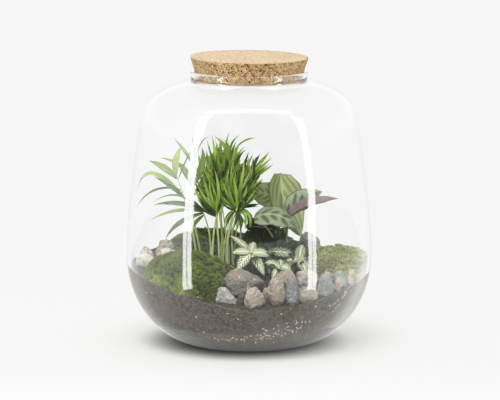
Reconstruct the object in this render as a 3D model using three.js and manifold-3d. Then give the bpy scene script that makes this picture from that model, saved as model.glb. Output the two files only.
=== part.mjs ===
// Closed glass plant terrarium: a blown glass jar with a cork stopper, filled with soil and planted
// with a parlour palm clump, a calathea and white-veined fittonia between moss cushions and stones.
// Units are millimetres, +Z is up, the front of the planting faces -Y and the origin is the centre
// of the jar's foot.
import * as THREE from 'three';
import { ConvexGeometry } from 'three/addons/geometries/ConvexGeometry.js';
import { mergeVertices } from 'three/addons/utils/BufferGeometryUtils.js';
import Module from 'manifold-3d';

const wasm = await Module();
wasm.setup();

// Driving dimensions
const gap = 0.3; // clearance kept between neighbouring pieces
const jarSegments = 36;
const jarRadius = 126.5;
const jarWidestHeight = 90;
const footRadius = 60;
const footRimInner = 48;
const puntHeight = 1.5;
const baseThickness = 5.5;
const wall = 3.5;
const shoulderRadius = 113;
const shoulderHeight = 222;
const neckRadius = 59.2;
const neckHeight = 272.5;
const beadRadius = 60.6;
const rimHeight = 281;
const mouthRadius = 56.9;
const corkTopRadius = 61.1;
const corkTopHeight = 295.5;
const corkBottomRadius = 54.7;
const corkBottomHeight = 275.5;
const corkTilt = 0.8; // degrees, left side higher
const soilFrontHeight = 54; // where the soil meets the glass in front
const soilLeftHeight = 82;
const soilRightHeight = 76;
const soilBackHeight = 91;
const soilMiddleHeight = 80;
const soilReach = 120; // radius over which the soil's height runs out to the glass
const rootDepth = 8; // how far stems stand in the soil

const model = new THREE.Group();
const placed = []; // solids already in the jar, which later leaves are bent clear of

function vec(x, y, z) {
  return new THREE.Vector3(x, y, z);
}

// Repeatable value between 0 and 1 from two indices
function draw(i, j) {
  const value = Math.sin(i * 12.9898 + j * 78.233) * 43758.5453;
  return value - Math.floor(value);
}

// Closed mesh with outward faces from corner points and triangle indices
function closedGeometry(points, triangles) {
  let volume = 0;
  for (const [a, b, c] of triangles) {
    volume += points[a].dot(vec(0, 0, 0).crossVectors(points[b], points[c]));
  }
  const geometry = new THREE.BufferGeometry();
  geometry.setAttribute('position', new THREE.Float32BufferAttribute(points.flatMap((p) => p.toArray()), 3));
  geometry.setIndex(triangles.flatMap(([a, b, c]) => (volume < 0 ? [a, c, b] : [a, b, c])));
  return geometry;
}

// Solid for joining and cutting, from any closed geometry
function toSolid(geometry) {
  const bare = geometry.clone();
  bare.deleteAttribute('normal');
  bare.deleteAttribute('uv');
  const merged = mergeVertices(bare, 1e-4);
  const index = merged.index.array;
  const kept = [];
  for (let k = 0; k < index.length; k += 3) {
    const [a, b, c] = [index[k], index[k + 1], index[k + 2]];
    if (a !== b && b !== c && c !== a) kept.push(a, b, c);
  }
  return new wasm.Manifold(new wasm.Mesh({
    numProp: 3,
    vertProperties: Float32Array.from(merged.attributes.position.array),
    triVerts: Uint32Array.from(kept),
  }));
}

function toGeometry(solid) {
  const mesh = solid.getMesh();
  const geometry = new THREE.BufferGeometry();
  geometry.setAttribute('position', new THREE.BufferAttribute(Float32Array.from(mesh.vertProperties), 3));
  geometry.setIndex(new THREE.BufferAttribute(Uint32Array.from(mesh.triVerts), 1));
  geometry.computeVertexNormals();
  return geometry;
}

function joined(solids) {
  return solids.reduce((all, one) => all.add(one));
}

// Largest body of a solid, which drops loose scraps left by a cut
function mainBody(solid) {
  const bodies = solid.decompose();
  return bodies.reduce((best, one) => (one.volume() > best.volume() ? one : best));
}

function addPiece(name, solid, color, roughness) {
  const material = new THREE.MeshStandardMaterial({ color, roughness, metalness: 0 });
  const mesh = new THREE.Mesh(toGeometry(mainBody(solid)), material);
  mesh.name = name;
  model.add(mesh);
}

function bezier(p0, p1, p2, p3, steps) {
  const curve = new THREE.CubicBezierCurve(...[p0, p1, p2, p3].map((p) => new THREE.Vector2(...p)));
  return curve.getPoints(steps);
}

function lathe(profile) {
  return new THREE.LatheGeometry(profile, jarSegments).rotateX(Math.PI / 2);
}

function points2(list) {
  return list.map((p) => new THREE.Vector2(...p));
}

// Glass jar: one wall, thick at the foot, with a rounded rim
const innerFoot = [55, baseThickness];
const innerWidest = [jarRadius - wall, jarWidestHeight];
const innerShoulder = [shoulderRadius - wall, shoulderHeight];
const innerNeck = [mouthRadius, neckHeight - 1.5];

function innerProfile() {
  return [
    ...bezier(innerFoot, [88, 7], [123, 42], innerWidest, 6),
    ...bezier(innerWidest, [123, 130], [115.5, 180], innerShoulder, 3).slice(1),
    ...bezier(innerShoulder, [105.5, 248], [92, 260], innerNeck, 4).slice(1),
  ];
}

function jarProfile() {
  return [
    ...points2([[0, puntHeight], [footRimInner - 3, puntHeight], [footRimInner, 0]]),
    ...bezier([footRadius, 0], [92, 3], [jarRadius, 40], [jarRadius, jarWidestHeight], 7),
    ...bezier([jarRadius, jarWidestHeight], [jarRadius, 130], [119, 180],
      [shoulderRadius, shoulderHeight], 3).slice(1),
    ...bezier([shoulderRadius, shoulderHeight], [109, 250], [95, 263], [62, 270.5], 5).slice(1),
    ...points2([[neckRadius, neckHeight], [beadRadius, 276], [60, rimHeight - 1]]),
    ...points2([[58.5, rimHeight], [mouthRadius, rimHeight - 0.8]]),
    ...innerProfile().reverse(),
    new THREE.Vector2(0, baseThickness),
  ];
}

// Room inside the jar, kept the given distance away from the glass
function cavity(clearance) {
  const inner = innerProfile().map((p) => new THREE.Vector2(p.x - clearance, p.y + clearance));
  const floor = new THREE.Vector2(0, baseThickness + clearance);
  const top = new THREE.Vector2(0, innerNeck[1] + clearance);
  return toSolid(lathe([floor, ...inner, top]));
}

const room = cavity(gap);
const leafRoom = cavity(1);
addPiece('glass_jar', toSolid(lathe(jarProfile())), 0xeef2f1, 0.05);

// Cork stopper: a tapered disc resting in the mouth, slightly tilted
function corkSolid() {
  const chamfer = 0.8;
  const profile = points2([
    [0, corkBottomHeight], [corkBottomRadius - chamfer, corkBottomHeight],
    [corkBottomRadius, corkBottomHeight + chamfer], [corkTopRadius, corkTopHeight - chamfer],
    [corkTopRadius - chamfer, corkTopHeight], [0, corkTopHeight],
  ]);
  const tilt = new THREE.Matrix4().makeTranslation(0, 0, corkBottomHeight)
    .multiply(new THREE.Matrix4().makeRotationY(THREE.MathUtils.degToRad(corkTilt)))
    .multiply(new THREE.Matrix4().makeTranslation(0, 0, -corkBottomHeight));
  return toSolid(lathe(profile).applyMatrix4(tilt));
}

addPiece('cork_stopper', corkSolid(), 0xcfae83, 0.9);

// Height of the soil: low in front, rising to the sides and the back, humped in the middle
function soilHeight(x, y) {
  const out = Math.min(Math.hypot(x, y) / soilReach, 1);
  const side = out === 0 ? 0 : Math.abs(x) / Math.hypot(x, y);
  const sideHeight = x < 0 ? soilLeftHeight : soilRightHeight;
  const power = x < 0 ? 1.25 : 2;
  const rim = y < 0
    ? soilFrontHeight + (sideHeight - soilFrontHeight) * side ** power
    : sideHeight + (soilBackHeight - sideHeight) * (1 - side);
  const reach = 1 - (1 - out) ** 1.3;
  const lumps = 0.7 * Math.sin(x * 0.16 + 1) * Math.sin(y * 0.14) + 0.5 * Math.sin(x * 0.31 - y * 0.27);
  return soilMiddleHeight + (rim - soilMiddleHeight) * reach + lumps;
}

// Closed patch over rings round a middle: a fine upper surface and a plain fan below it
function patch(rings, segments, place) {
  const points = [place(0, 0, true), place(0, 0, false)];
  const triangles = [];
  const upper = (ring, k) => (ring === 0 ? 0 : 2 + (ring - 1) * segments + (k % segments));
  const lower = (k) => 2 + rings * segments + (k % segments);
  for (let ring = 1; ring <= rings; ring++) {
    for (let k = 0; k < segments; k++) points.push(place(ring / rings, (2 * Math.PI * k) / segments, true));
  }
  for (let k = 0; k < segments; k++) points.push(place(1, (2 * Math.PI * k) / segments, false));
  for (let k = 0; k < segments; k++) {
    triangles.push([0, upper(1, k), upper(1, k + 1)]);
    for (let ring = 2; ring <= rings; ring++) {
      const [a, b] = [upper(ring, k), upper(ring, k + 1)];
      const [c, d] = [upper(ring - 1, k), upper(ring - 1, k + 1)];
      triangles.push([c, a, b], [c, b, d]);
    }
    const [a, b] = [upper(rings, k), upper(rings, k + 1)];
    triangles.push([a, lower(k), lower(k + 1)], [a, lower(k + 1), b], [1, lower(k + 1), lower(k)]);
  }
  return toSolid(closedGeometry(points, triangles));
}

function soilBlank() {
  const outerRadius = 130;
  return patch(9, jarSegments, (out, angle, upper) => {
    const x = outerRadius * out * Math.sin(angle);
    const y = -outerRadius * out * Math.cos(angle);
    return vec(x, y, upper ? soilHeight(x, y) : 0);
  }).intersect(room);
}

placed.push(soilBlank());
const pockets = []; // what is cut out of the soil: grown copies of everything that sits in it

// Moss cushions: domes of small tufts raised by formula, pressed against the glass where they meet it
const mossCushions = [
  { name: 'moss_front_left', x: -58, y: -66, long: 42, short: 44, turn: 40, height: 27, flatness: 2.6 },
  { name: 'moss_back_left', x: -48, y: 62, long: 44, short: 28, turn: -24, height: 19, flatness: 2.4 },
  { name: 'moss_right', x: 95, y: -12, long: 44, short: 34, turn: 74, height: 22, flatness: 3.6 },
];

function mossSolid({ x, y, long, short, turn, height, flatness }, grow) {
  const turned = THREE.MathUtils.degToRad(turn);
  return patch(7, 26, (out, angle, upper) => {
    const edge = 1 + 0.07 * Math.sin(3 * angle + x) + 0.05 * Math.sin(5 * angle + y);
    const u = (long + grow) * out * edge * Math.cos(angle);
    const v = (short + grow) * out * edge * Math.sin(angle);
    const px = x + u * Math.cos(turned) + v * Math.sin(turned);
    const py = y - u * Math.sin(turned) + v * Math.cos(turned);
    const tufts = 1.3 * Math.sin(px * 0.55 + py * 0.2) * Math.sin(py * 0.6 - px * 0.15);
    const dome = height * Math.sqrt(Math.max(0, 1 - out ** flatness)) + tufts * Math.min(1, 3 * (1 - out));
    return vec(px, py, soilHeight(px, py) + (upper ? dome + 0.5 + grow : -3 - grow));
  });
}

// Stones: each is the hull of its outline seen from the front, with smaller copies of the outline
// in front of and behind it. Rows give name, depth of the middle, thickness, colour, then the outline.
const stoneRows = [
  ['stone_front_1', -78, 24, 0x8e8479,
    [[-26, 74], [-18, 86], [-8, 88], [-1, 86], [13, 76], [8, 58], [-9, 54], [-23, 56]]],
  ['stone_front_2', -98, 13, 0xb4b3ae,
    [[-37, 60], [-33, 68], [-28, 74], [-23, 72], [-13, 61], [-14, 56], [-20, 54], [-31, 55]]],
  ['stone_front_3', -97, 9, 0x5c544c, [[-12, 61], [-9, 66], [-5, 66], [-4, 58], [-11, 55]]],
  ['stone_front_4', -104, 13, 0xab9c85,
    [[-3, 67], [0, 73], [6, 74], [11, 70], [15, 60], [10, 52], [2, 51], [-3, 57]]],
  ['stone_front_5', -91, 9, 0x8d857a, [[14, 66], [16, 71], [19, 70], [21, 60], [16, 55]]],
  ['stone_front_6', -100, 12, 0xb59a78,
    [[18, 70], [22, 81], [28, 84], [33, 82], [35, 71], [33, 59], [27, 56], [21, 60]]],
  ['stone_front_7', -98, 12, 0x7f8790,
    [[37, 70], [39, 81], [42, 86], [46, 83], [49, 70], [48, 58], [44, 52], [38, 57]]],
  ['stone_front_8', -80, 12, 0x9b8b78,
    [[27, 80], [32, 87], [41, 87], [45, 81], [43, 68], [39, 56], [31, 57]]],
  ['stone_front_9', -92, 13, 0xb39a90,
    [[50, 63], [53, 72], [59, 74], [66, 70], [68, 62], [62, 56], [52, 55]]],
  ['stone_right_1', -76, 14, 0xa9a193,
    [[48, 76], [51, 85], [59, 87], [66, 84], [69, 76], [64, 60], [52, 59]]],
  ['stone_right_2', -81, 12, 0x85847f,
    [[69, 68], [71, 80], [75, 84], [81, 81], [84, 70], [82, 61], [74, 59]]],
  ['stone_right_3', -66, 9, 0xa98d68, [[74, 77], [77, 83], [81, 84], [83, 80], [82, 66], [76, 63]]],
  ['stone_right_4', -72, 8, 0xae946e, [[86, 68], [88, 77], [91, 79], [93, 73], [90, 63], [86, 63]]],
  ['stone_right_5', -62, 10, 0x84807a,
    [[85, 72], [88, 83], [93, 84], [97, 77], [96, 68], [90, 66]]],
  ['stone_right_6', -55, 8, 0xa58d6c,
    [[98, 72], [101, 84], [105, 85], [105, 77], [102, 67], [98, 67]]],
  ['stone_right_7', -38, 12, 0xb59b93,
    [[106, 72], [107, 83], [111, 87], [115, 85], [116, 76], [114, 68], [108, 67]]],
  ['stone_left_1', 6, 14, 0xa08d84,
    [[-115, 84], [-108, 97], [-101, 92], [-98, 84], [-100, 76], [-109, 75]]],
  ['stone_left_2', -14, 15, 0xc6b8a6,
    [[-115, 81], [-113, 90], [-106, 93], [-100, 89], [-98, 82], [-103, 76], [-112, 76]]],
  ['stone_left_3', -5, 8, 0xa3a09c, [[-97, 79], [-96, 88], [-93, 92], [-90, 88], [-90, 79]]],
  ['stone_left_4', 26, 15, 0xae9786,
    [[-97, 88], [-92, 100], [-85, 100], [-80, 96], [-79, 87], [-81, 76], [-92, 75]]],
  ['stone_left_5', 9, 13, 0xcdb7a8,
    [[-94, 85], [-91, 93], [-84, 94], [-77, 91], [-76, 83], [-80, 78], [-92, 78]]],
  ['stone_back_1', 24, 20, 0x98a093,
    [[51, 76], [52, 95], [56, 106], [63, 108], [71, 101], [74, 86], [72, 74]]],
];

function stoneSolid([name, depth, thickness, , outline]) {
  const middle = new THREE.Vector2();
  for (const [x, z] of outline) middle.add(new THREE.Vector2(x, z).divideScalar(outline.length));
  const points = [];
  outline.forEach(([x, z], k) => {
    const shift = (draw(k, name.length + depth) - 0.5) * 0.35 * thickness;
    points.push(vec(x, depth + shift, z));
    const inset = 0.5 + 0.3 * draw(k + 9, depth);
    const reach = thickness * (0.36 + 0.14 * draw(k + 5, depth));
    const face = k % 2 === 0 ? -1 : 1;
    const at = middle.clone().lerp(new THREE.Vector2(x, z), inset);
    points.push(vec(at.x, depth + face * reach, at.y));
    const other = middle.clone().lerp(new THREE.Vector2(x, z), inset * 0.7);
    points.push(vec(other.x, depth - face * reach, other.y));
  });
  return toSolid(new ConvexGeometry(points));
}

// Copy of a convex solid with every face moved out by at least the clearance
function grownStone(solid) {
  const box = solid.boundingBox();
  const centre = box.min.map((low, k) => (low + box.max[k]) / 2);
  const half = Math.min(...box.min.map((low, k) => (box.max[k] - low) / 2));
  const scale = 1 + (2 * gap) / half;
  const back = centre.map((value) => value * (1 - scale));
  return solid.scale(scale).translate(back);
}

const earlierStones = [];
for (const row of stoneRows) {
  let solid = stoneSolid(row);
  pockets.push(grownStone(solid));
  for (const other of earlierStones) solid = solid.subtract(other);
  solid = mainBody(solid.intersect(room));
  earlierStones.push(grownStone(stoneSolid(row)));
  placed.push(solid);
  addPiece(row[0], solid, row[3], 0.85);
}

// The soft cushions give way to the stones and to the glass
for (const cushion of mossCushions) {
  let solid = mossSolid(cushion, 0).intersect(room);
  for (const stone of earlierStones) solid = solid.subtract(stone);
  pockets.push(mossSolid(cushion, gap));
  placed.push(mainBody(solid));
  addPiece(cushion.name, solid, 0x7d9a3e, 0.95);
}

// Tube along points, with a radius for each end
function tube(points, startRadius, endRadius, sides, stations) {
  const curve = new THREE.CatmullRomCurve3(points);
  const corners = [];
  const triangles = [];
  for (let k = 0; k <= stations; k++) {
    const t = k / stations;
    const forward = curve.getTangentAt(t);
    const across = vec(0, 0, 0).crossVectors(forward, vec(0.1, 1, 0.05)).normalize();
    const over = vec(0, 0, 0).crossVectors(across, forward);
    const radius = startRadius + (endRadius - startRadius) * t;
    for (let side = 0; side < sides; side++) {
      const angle = (2 * Math.PI * side) / sides;
      const corner = curve.getPointAt(t).addScaledVector(across, radius * Math.cos(angle));
      corners.push(corner.addScaledVector(over, radius * Math.sin(angle)));
    }
  }
  for (let k = 0; k < stations; k++) {
    for (let side = 0; side < sides; side++) {
      const [a, b] = [k * sides + side, k * sides + ((side + 1) % sides)];
      triangles.push([a, b, b + sides], [a, b + sides, a + sides]);
    }
  }
  const last = stations * sides;
  for (let side = 1; side < sides - 1; side++) {
    triangles.push([0, side + 1, side], [last, last + side, last + side + 1]);
  }
  return toSolid(closedGeometry(corners, triangles));
}

// Point along a curve through a root, a middle and a tip
function arc(root, via, tip) {
  const control = via.clone().multiplyScalar(2).addScaledVector(root, -0.5).addScaledVector(tip, -0.5);
  return new THREE.QuadraticBezierCurve3(root, control, tip);
}

// Thin leaf blade along a curve. Its upper face looks along the given direction, its halves fold by
// angles from flat, and both faces are split into triangles alike.
function blade(curve, face, shape) {
  const { width, outline, columns, thickness, foldLeft, foldRight, wave } = shape;
  const corners = [];
  const triangles = [];
  const lower = (index, column) => (column === 0 || column === columns ? index : index + columns + 1);
  const rowSize = 2 * columns + 2;
  const rows = outline.length - 1;
  const tip = rows * rowSize;
  for (let row = 0; row < rows; row++) {
    const t = row / rows;
    const forward = curve.getTangentAt(t);
    const across = vec(0, 0, 0).crossVectors(forward, face).normalize();
    const up = vec(0, 0, 0).crossVectors(across, forward);
    for (const level of [0.5, -0.5]) {
      for (let column = 0; column <= columns; column++) {
        const side = (2 * column) / columns - 1;
        const fold = THREE.MathUtils.degToRad(side < 0 ? foldLeft : foldRight);
        const out = side * width * 0.5 * outline[row];
        const ripple = wave * Math.abs(side) * Math.sin(row * 1.9 + (side > 0 ? 1.2 : 0));
        const corner = curve.getPointAt(t).addScaledVector(across, out * Math.cos(fold));
        corner.addScaledVector(up, Math.abs(out) * Math.sin(fold) + level * thickness + ripple);
        if (Math.abs(side) === 1) corner.addScaledVector(up, -level * thickness);
        corners.push(corner);
      }
    }
  }
  corners.push(curve.getPointAt(1));
  for (let row = 0; row < rows; row++) {
    for (let column = 0; column < columns; column++) {
      for (const upper of [true, false]) {
        const pick = (r, c) => (upper ? r * rowSize + c : lower(r * rowSize + c, c));
        const [a, b] = [pick(row, column), pick(row, column + 1)];
        const faces = [];
        if (row === rows - 1) {
          faces.push([a, b, tip]);
        } else {
          const [c, d] = [pick(row + 1, column), pick(row + 1, column + 1)];
          faces.push([a, b, d], [a, d, c]);
        }
        triangles.push(...(upper ? faces : faces.map((one) => one.reverse())));
      }
    }
  }
  for (let column = 0; column < columns; column++) {
    const [a, b] = [column, column + 1];
    const [c, d] = [lower(column, column), lower(column + 1, column + 1)];
    if (a !== c) triangles.push([a, c, b]);
    if (b !== d) triangles.push([b, c, d]);
  }
  return toSolid(closedGeometry(corners, triangles));
}

// Leaf with its depth shifted until it clears the glass and everything placed before it
function clearLeaf(make, obstacles) {
  for (const shift of [0, 3, -3, 6, -6, 9, -9, 13, -13, 18, -18]) {
    const probe = make(shift, 0.5);
    const outside = probe.subtract(leafRoom).volume();
    if (outside < 0.01 && probe.intersect(obstacles).volume() < 0.001) return make(shift, 0);
  }
  return null;
}

// Upper face direction of a leaf that faces the viewer, turned about its own length
function facing(forward, turn) {
  const viewer = vec(0, -1, 0.25).normalize();
  return viewer.applyAxisAngle(forward.clone().normalize(), THREE.MathUtils.degToRad(turn));
}

// Palm clump: each shoot is a stem from the soil with its leaflets. Leaflet rows give x and z of
// root, middle and tip, then the depth of the tip, the width and the turn about its length.
const palmShoots = [
  { depth: -6, stem: [[-39, 80], [-41, 114], [-47, 135]], leaflets: [
    [-47, 136, -72, 145, -99, 144, -16, 5, 0], [-47, 135, -76, 136, -103, 125, -2, 4, 20],
    [-47, 134, -72, 124, -86, 107, -14, 5, 0], [-46, 132, -54, 126, -58, 118, -22, 4, 20],
    [-47, 134, -73, 153, -99, 146, -16, 4, 50]] },
  { depth: 0, stem: [[-54, 82], [-58, 113], [-63, 134], [-66, 145], [-70, 159], [-75, 172]], leaflets: [
    [-75, 171, -75, 188, -69, 203, 4, 7, 0], [-74, 169, -88, 182, -103, 190, -14, 7, 0],
    [-66, 148, -98, 174, -116, 158, 4, 5, 15], [-67, 149, -83, 163, -99, 173, -8, 4, 10],
    [-69, 157, -97, 157, -116, 139, -4, 4.5, 50], [-73, 168, -65, 188, -58, 198, 10, 4, 65]] },
  { depth: 10, stem: [[-50, 84], [-55, 113], [-59, 132], [-58, 155], [-57, 182]], leaflets: [
    [-57, 179, -65, 194, -79, 212, 4, 4, 25], [-58, 162, -70, 181, -94, 191, 2, 5, 25],
    [-57, 181, -57, 200, -60, 212, 16, 3, 45], [-57, 178, -51, 202, -41, 210, 20, 3, 50],
    [-58, 160, -48, 184, -49, 202, 0, 7, 0], [-58, 150, -45, 169, -41, 187, 24, 6, 10],
    [-58, 156, -66, 170, -74, 172, 44, 6, 20]] },
  { depth: 2, stem: [[-29, 80], [-34, 130], [-33, 157], [-31, 180]], leaflets: [
    [-31, 176, -34, 192, -38, 217, -8, 4.5, 0], [-31, 172, -30, 196, -30, 214, 4, 4, 40],
    [-33, 160, -39, 189, -40, 205, -6, 4, 30], [-32, 168, -36, 185, -37, 198, 6, 4.5, 20],
    [-31, 175, -32, 190, -33, 206, 10, 5, 10], [-33, 152, -42, 179, -45, 188, 14, 5, 20],
    [-32, 164, -26, 181, -28, 199, -14, 5, 0], [-33, 150, -38, 168, -45, 170, 48, 5, 10],
    [-33, 158, -41, 172, -50, 181, -6, 4.5, 15], [-32, 166, -27, 186, -22, 196, -4, 4.5, 20]] },
  { depth: 8, stem: [[-24, 80], [-29, 124], [-25, 156], [-22, 181]], leaflets: [
    [-22, 180, -24, 199, -37, 215, 0, 5, 0], [-23, 172, -24, 200, -19, 217, 14, 4.5, 0],
    [-22, 178, -19, 201, -9, 212, 20, 3.5, 35], [-23, 170, -14, 196, -7, 207, 8, 7, 0],
    [-10, 203, -2, 209, 7, 211, 4, 2, 10], [-25, 160, -12, 180, -13, 194, 24, 5, 10],
    [-26, 152, -17, 172, -10, 176, 52, 5, 10], [-24, 165, -30, 186, -31, 203, 2, 4.5, 20],
    [-23, 174, -17, 188, -14, 204, -2, 4.5, 10]] },
  { depth: -4, stem: [[-21, 80], [-21, 112], [-15, 139], [-9, 164], [-6, 178]], leaflets: [
    [-13, 146, -7, 171, -5, 192, -10, 5, 0], [-12, 150, 1, 168, -3, 191, -2, 5.5, 0],
    [-6, 177, -3, 189, 0, 197, 2, 2.5, 30], [-8, 170, 0, 186, 5, 194, 10, 3, 40],
    [-14, 143, -16, 171, -12, 191, -18, 5, 10], [-15, 140, -22, 163, -20, 182, -16, 5, 0],
    [-10, 160, -15, 176, -17, 193, -14, 4.5, 15], [-12, 152, -4, 160, 4, 176, -12, 4.5, 5],
    [-15, 141, -24, 152, -32, 170, -20, 4.5, 0]] },
  { depth: 6, stem: [[-17, 79], [-17, 112], [-9, 139], [-2, 165], [1, 175]], leaflets: [
    [0, 172, 7, 185, 12, 194, 14, 4, 20], [1, 174, 11, 185, 22, 197, 6, 3.5, 45],
    [-1, 168, 11, 179, 24, 192, -2, 5, 0], [-3, 162, 2, 167, 8, 166, 16, 3, 50],
    [-8, 142, 2, 158, 14, 170, -8, 5, 0], [-9, 137, 3, 141, 11, 143, -4, 5, 10],
    [-6, 150, 4, 160, 8, 156, 42, 5, 10], [-4, 158, 5, 166, 13, 176, -6, 4.5, 15],
    [-2, 166, 3, 180, 4, 192, -2, 4.5, 20]] },
  { depth: -14, stem: [[-38, 76], [-36, 116], [-33, 136]], leaflets: [
    [-34, 134, -46, 153, -55, 174, -10, 5, 0], [-33, 135, -41, 154, -47, 175, -22, 5, 0],
    [-33, 136, -37, 156, -42, 180, -14, 5, 0], [-33, 136, -31, 158, -35, 182, -24, 5, 0],
    [-33, 135, -26, 155, -29, 172, -18, 5, 0], [-34, 133, -44, 145, -51, 161, -26, 4.5, 0],
    [-34, 134, -48, 148, -60, 168, -16, 4.5, 0], [-33, 136, -38, 164, -38, 188, -20, 4.5, 10],
    [-33, 136, -28, 150, -22, 168, -20, 4.5, 0]] },
  { depth: -16, stem: [[-22, 76], [-21, 112], [-12, 141]], leaflets: [
    [-13, 139, -23, 147, -29, 155, -24, 4, 0], [-13, 140, -21, 153, -26, 169, -20, 5, 0],
    [-12, 140, -8, 147, -12, 157, -24, 5.5, 0], [-12, 140, -5, 154, -2, 167, -22, 4.5, 0],
    [-12, 139, -1, 135, -2, 116, -20, 5.5, 0], [-13, 138, -8, 130, -9, 118, -26, 5, 0],
    [-12, 140, -13, 158, -16, 176, -26, 4.5, 0], [-12, 140, 0, 149, 8, 160, -22, 4.5, 0],
    [-13, 138, -20, 132, -24, 120, -24, 4.5, 0]] },
  { depth: 26, stem: [[-28, 80], [-29, 121], [-36, 158], [-40, 174]], leaflets: [
    [-37, 160, -48, 171, -53, 192, 34, 6, 10], [-39, 172, -34, 188, -24, 193, 38, 6, 10],
    [-36, 157, -24, 166, -16, 182, 44, 6, 0], [-33, 142, -47, 150, -62, 151, 38, 5.5, 0],
    [-32, 136, -16, 150, -3, 166, 36, 6, 0], [-34, 147, -28, 166, -22, 179, 20, 6, 0],
    [-39, 171, -44, 182, -48, 172, 70, 6, 0], [-36, 158, -30, 174, -22, 166, 78, 6, 10],
    [-33, 140, -44, 156, -58, 144, 72, 6, 0], [-37, 162, -38, 182, -34, 180, 62, 5, 20]] },
  { depth: 18, stem: [[-9, 80], [-9, 117], [-14, 144], [-18, 167]], leaflets: [
    [-17, 163, -23, 174, -26, 189, 26, 6, 0], [-16, 158, -6, 170, 3, 177, 30, 6, 10],
    [-14, 146, -3, 151, 7, 153, 28, 5, 10], [-18, 166, -16, 178, -11, 189, 34, 6, 10],
    [-13, 139, -24, 147, -36, 153, 26, 6, 0], [-17, 163, -8, 176, 2, 164, 66, 6, 10],
    [-14, 146, -4, 158, 4, 146, 60, 6, 0], [-15, 152, -22, 168, -26, 160, 64, 6, 0],
    [-16, 155, -9, 172, -4, 186, 24, 4.5, 5], [-14, 146, -25, 160, -33, 170, 22, 4.5, 0]] },
];
const leafletOutline = [0.35, 0.85, 1, 0.62, 0];
const shortOutline = [0.35, 1, 0.8, 0];
const shortLeaflet = 36; // length below which a leaflet needs fewer rows

function palmLeaflet([rootX, rootZ, viaX, viaZ, tipX, tipZ, tipDepth, width, turn], depth, shift, extra) {
  const via = vec(viaX, (depth + tipDepth) / 2 + shift * 0.5, viaZ);
  const tip = vec(tipX, tipDepth + shift, tipZ);
  const curve = arc(vec(rootX, depth, rootZ), via, tip);
  const isShort = Math.hypot(tipX - rootX, tipZ - rootZ) < shortLeaflet;
  const shape = {
    width: width + extra, outline: isShort ? shortOutline : leafletOutline, columns: 2, thickness: 1 + extra,
    foldLeft: 12, foldRight: 12, wave: 0,
  };
  return blade(curve, facing(curve.getTangentAt(0.5), turn), shape);
}

// Stem that stands in the soil, and the hole it leaves there
function standingStem(points, startRadius, endRadius) {
  const foot = points[0];
  const buried = vec(foot.x, foot.y, soilHeight(foot.x, foot.y) - rootDepth);
  const above = vec(foot.x, foot.y, soilHeight(foot.x, foot.y) + 4);
  const route = [buried, above, ...points.slice(1)];
  const hole = [buried.clone().setZ(buried.z - gap), above];
  pockets.push(tube(hole, startRadius + gap + 0.1, startRadius + gap + 0.1, 5, 1));
  return tube(route, startRadius, endRadius, 5, 2 * points.length);
}

const palmStems = palmShoots.map(({ depth, stem }) => (
  standingStem(stem.map(([x, z]) => vec(x, depth, z)), 1.5, 0.9)
));

palmShoots.forEach(({ depth, leaflets }, k) => {
  const obstacles = joined([...placed, ...palmStems.filter((_, other) => other > k)]);
  const parts = [palmStems[k]];
  for (const row of leaflets) {
    const leaf = clearLeaf((shift, extra) => palmLeaflet(row, depth, shift, extra), obstacles);
    if (leaf) parts.push(leaf);
  }
  const shoot = mainBody(joined(parts));
  placed.push(shoot);
  addPiece(`palm_shoot_${k + 1}`, shoot, 0x6f9a2f, 0.6);
});

// Calathea: every leaf is a petiole with a broad blade. Each has the petiole's route, the blade's
// rib as root, middle and tip, the way its upper face looks and how far its halves fold.
const calatheaLeaves = [
  { petiole: [[33, 6, 78], [31, 12, 120], [29, 16, 155], [33, 14, 173]],
    rib: [[33, 14, 172], [37, 8, 142], [54, 2, 107]],
    face: [0.2, -1, 0.1], width: 44, foldLeft: -6, foldRight: -62 },
  { petiole: [[30, 20, 78], [31, 24, 110], [33, 24, 144]],
    rib: [[33, 24, 144], [17, 24, 148], [-3, 26, 151]],
    face: [0, -1, 0.2], width: 26, foldLeft: -8, foldRight: -8 },
  { petiole: [[36, -4, 78], [37, -6, 120], [40, -8, 137]],
    rib: [[40, -8, 136], [57, -10, 147], [76, -8, 157]],
    face: [0, -1, 0.35], width: 28, foldLeft: 4, foldRight: -72 },
  { petiole: [[39, -12, 77], [39, -14, 115], [42, -17, 134]],
    rib: [[42, -17, 133], [62, -19, 145], [92, -17, 151]],
    face: [0, 1, 0.5], width: 15, foldLeft: 35, foldRight: 35 },
  { petiole: [[27, -10, 76], [25, -13, 108], [14, -18, 125], [5, -22, 131]],
    rib: [[5, -22, 131], [26, -26, 136], [52, -24, 122]],
    face: [0, -0.5, 0.9], width: 30, foldLeft: -6, foldRight: -10 },
  { petiole: [[31, -4, 78], [31, -7, 105], [27, -8, 116]],
    rib: [[27, -8, 116], [13, -9, 120], [-4, -10, 120]],
    face: [0, 0.9, 0.5], width: 27, foldLeft: 10, foldRight: 10 },
];
const calatheaOutline = [0.5, 0.88, 1, 1, 0.9, 0.68, 0.38, 0];

function calatheaBlade({ rib, face, width, foldLeft, foldRight }, shift, extra) {
  const [root, via, tip] = rib.map((p, k) => vec(p[0], p[1] + shift * 0.5 * k, p[2]));
  const shape = {
    width: width + extra, outline: calatheaOutline, columns: 4, thickness: 1 + extra,
    foldLeft, foldRight, wave: 0.5,
  };
  return blade(arc(root, via, tip), vec(...face), shape);
}

calatheaLeaves.forEach((leaf, k) => {
  const make = (shift, extra) => calatheaBlade(leaf, shift, extra);
  const petiole = standingStem(leaf.petiole.map((p) => vec(...p)), 1.4, 1);
  const whole = mainBody(petiole.add(clearLeaf(make, joined(placed))));
  placed.push(whole);
  addPiece(`calathea_leaf_${k + 1}`, whole, 0x9fb27a, 0.55);
});

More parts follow.
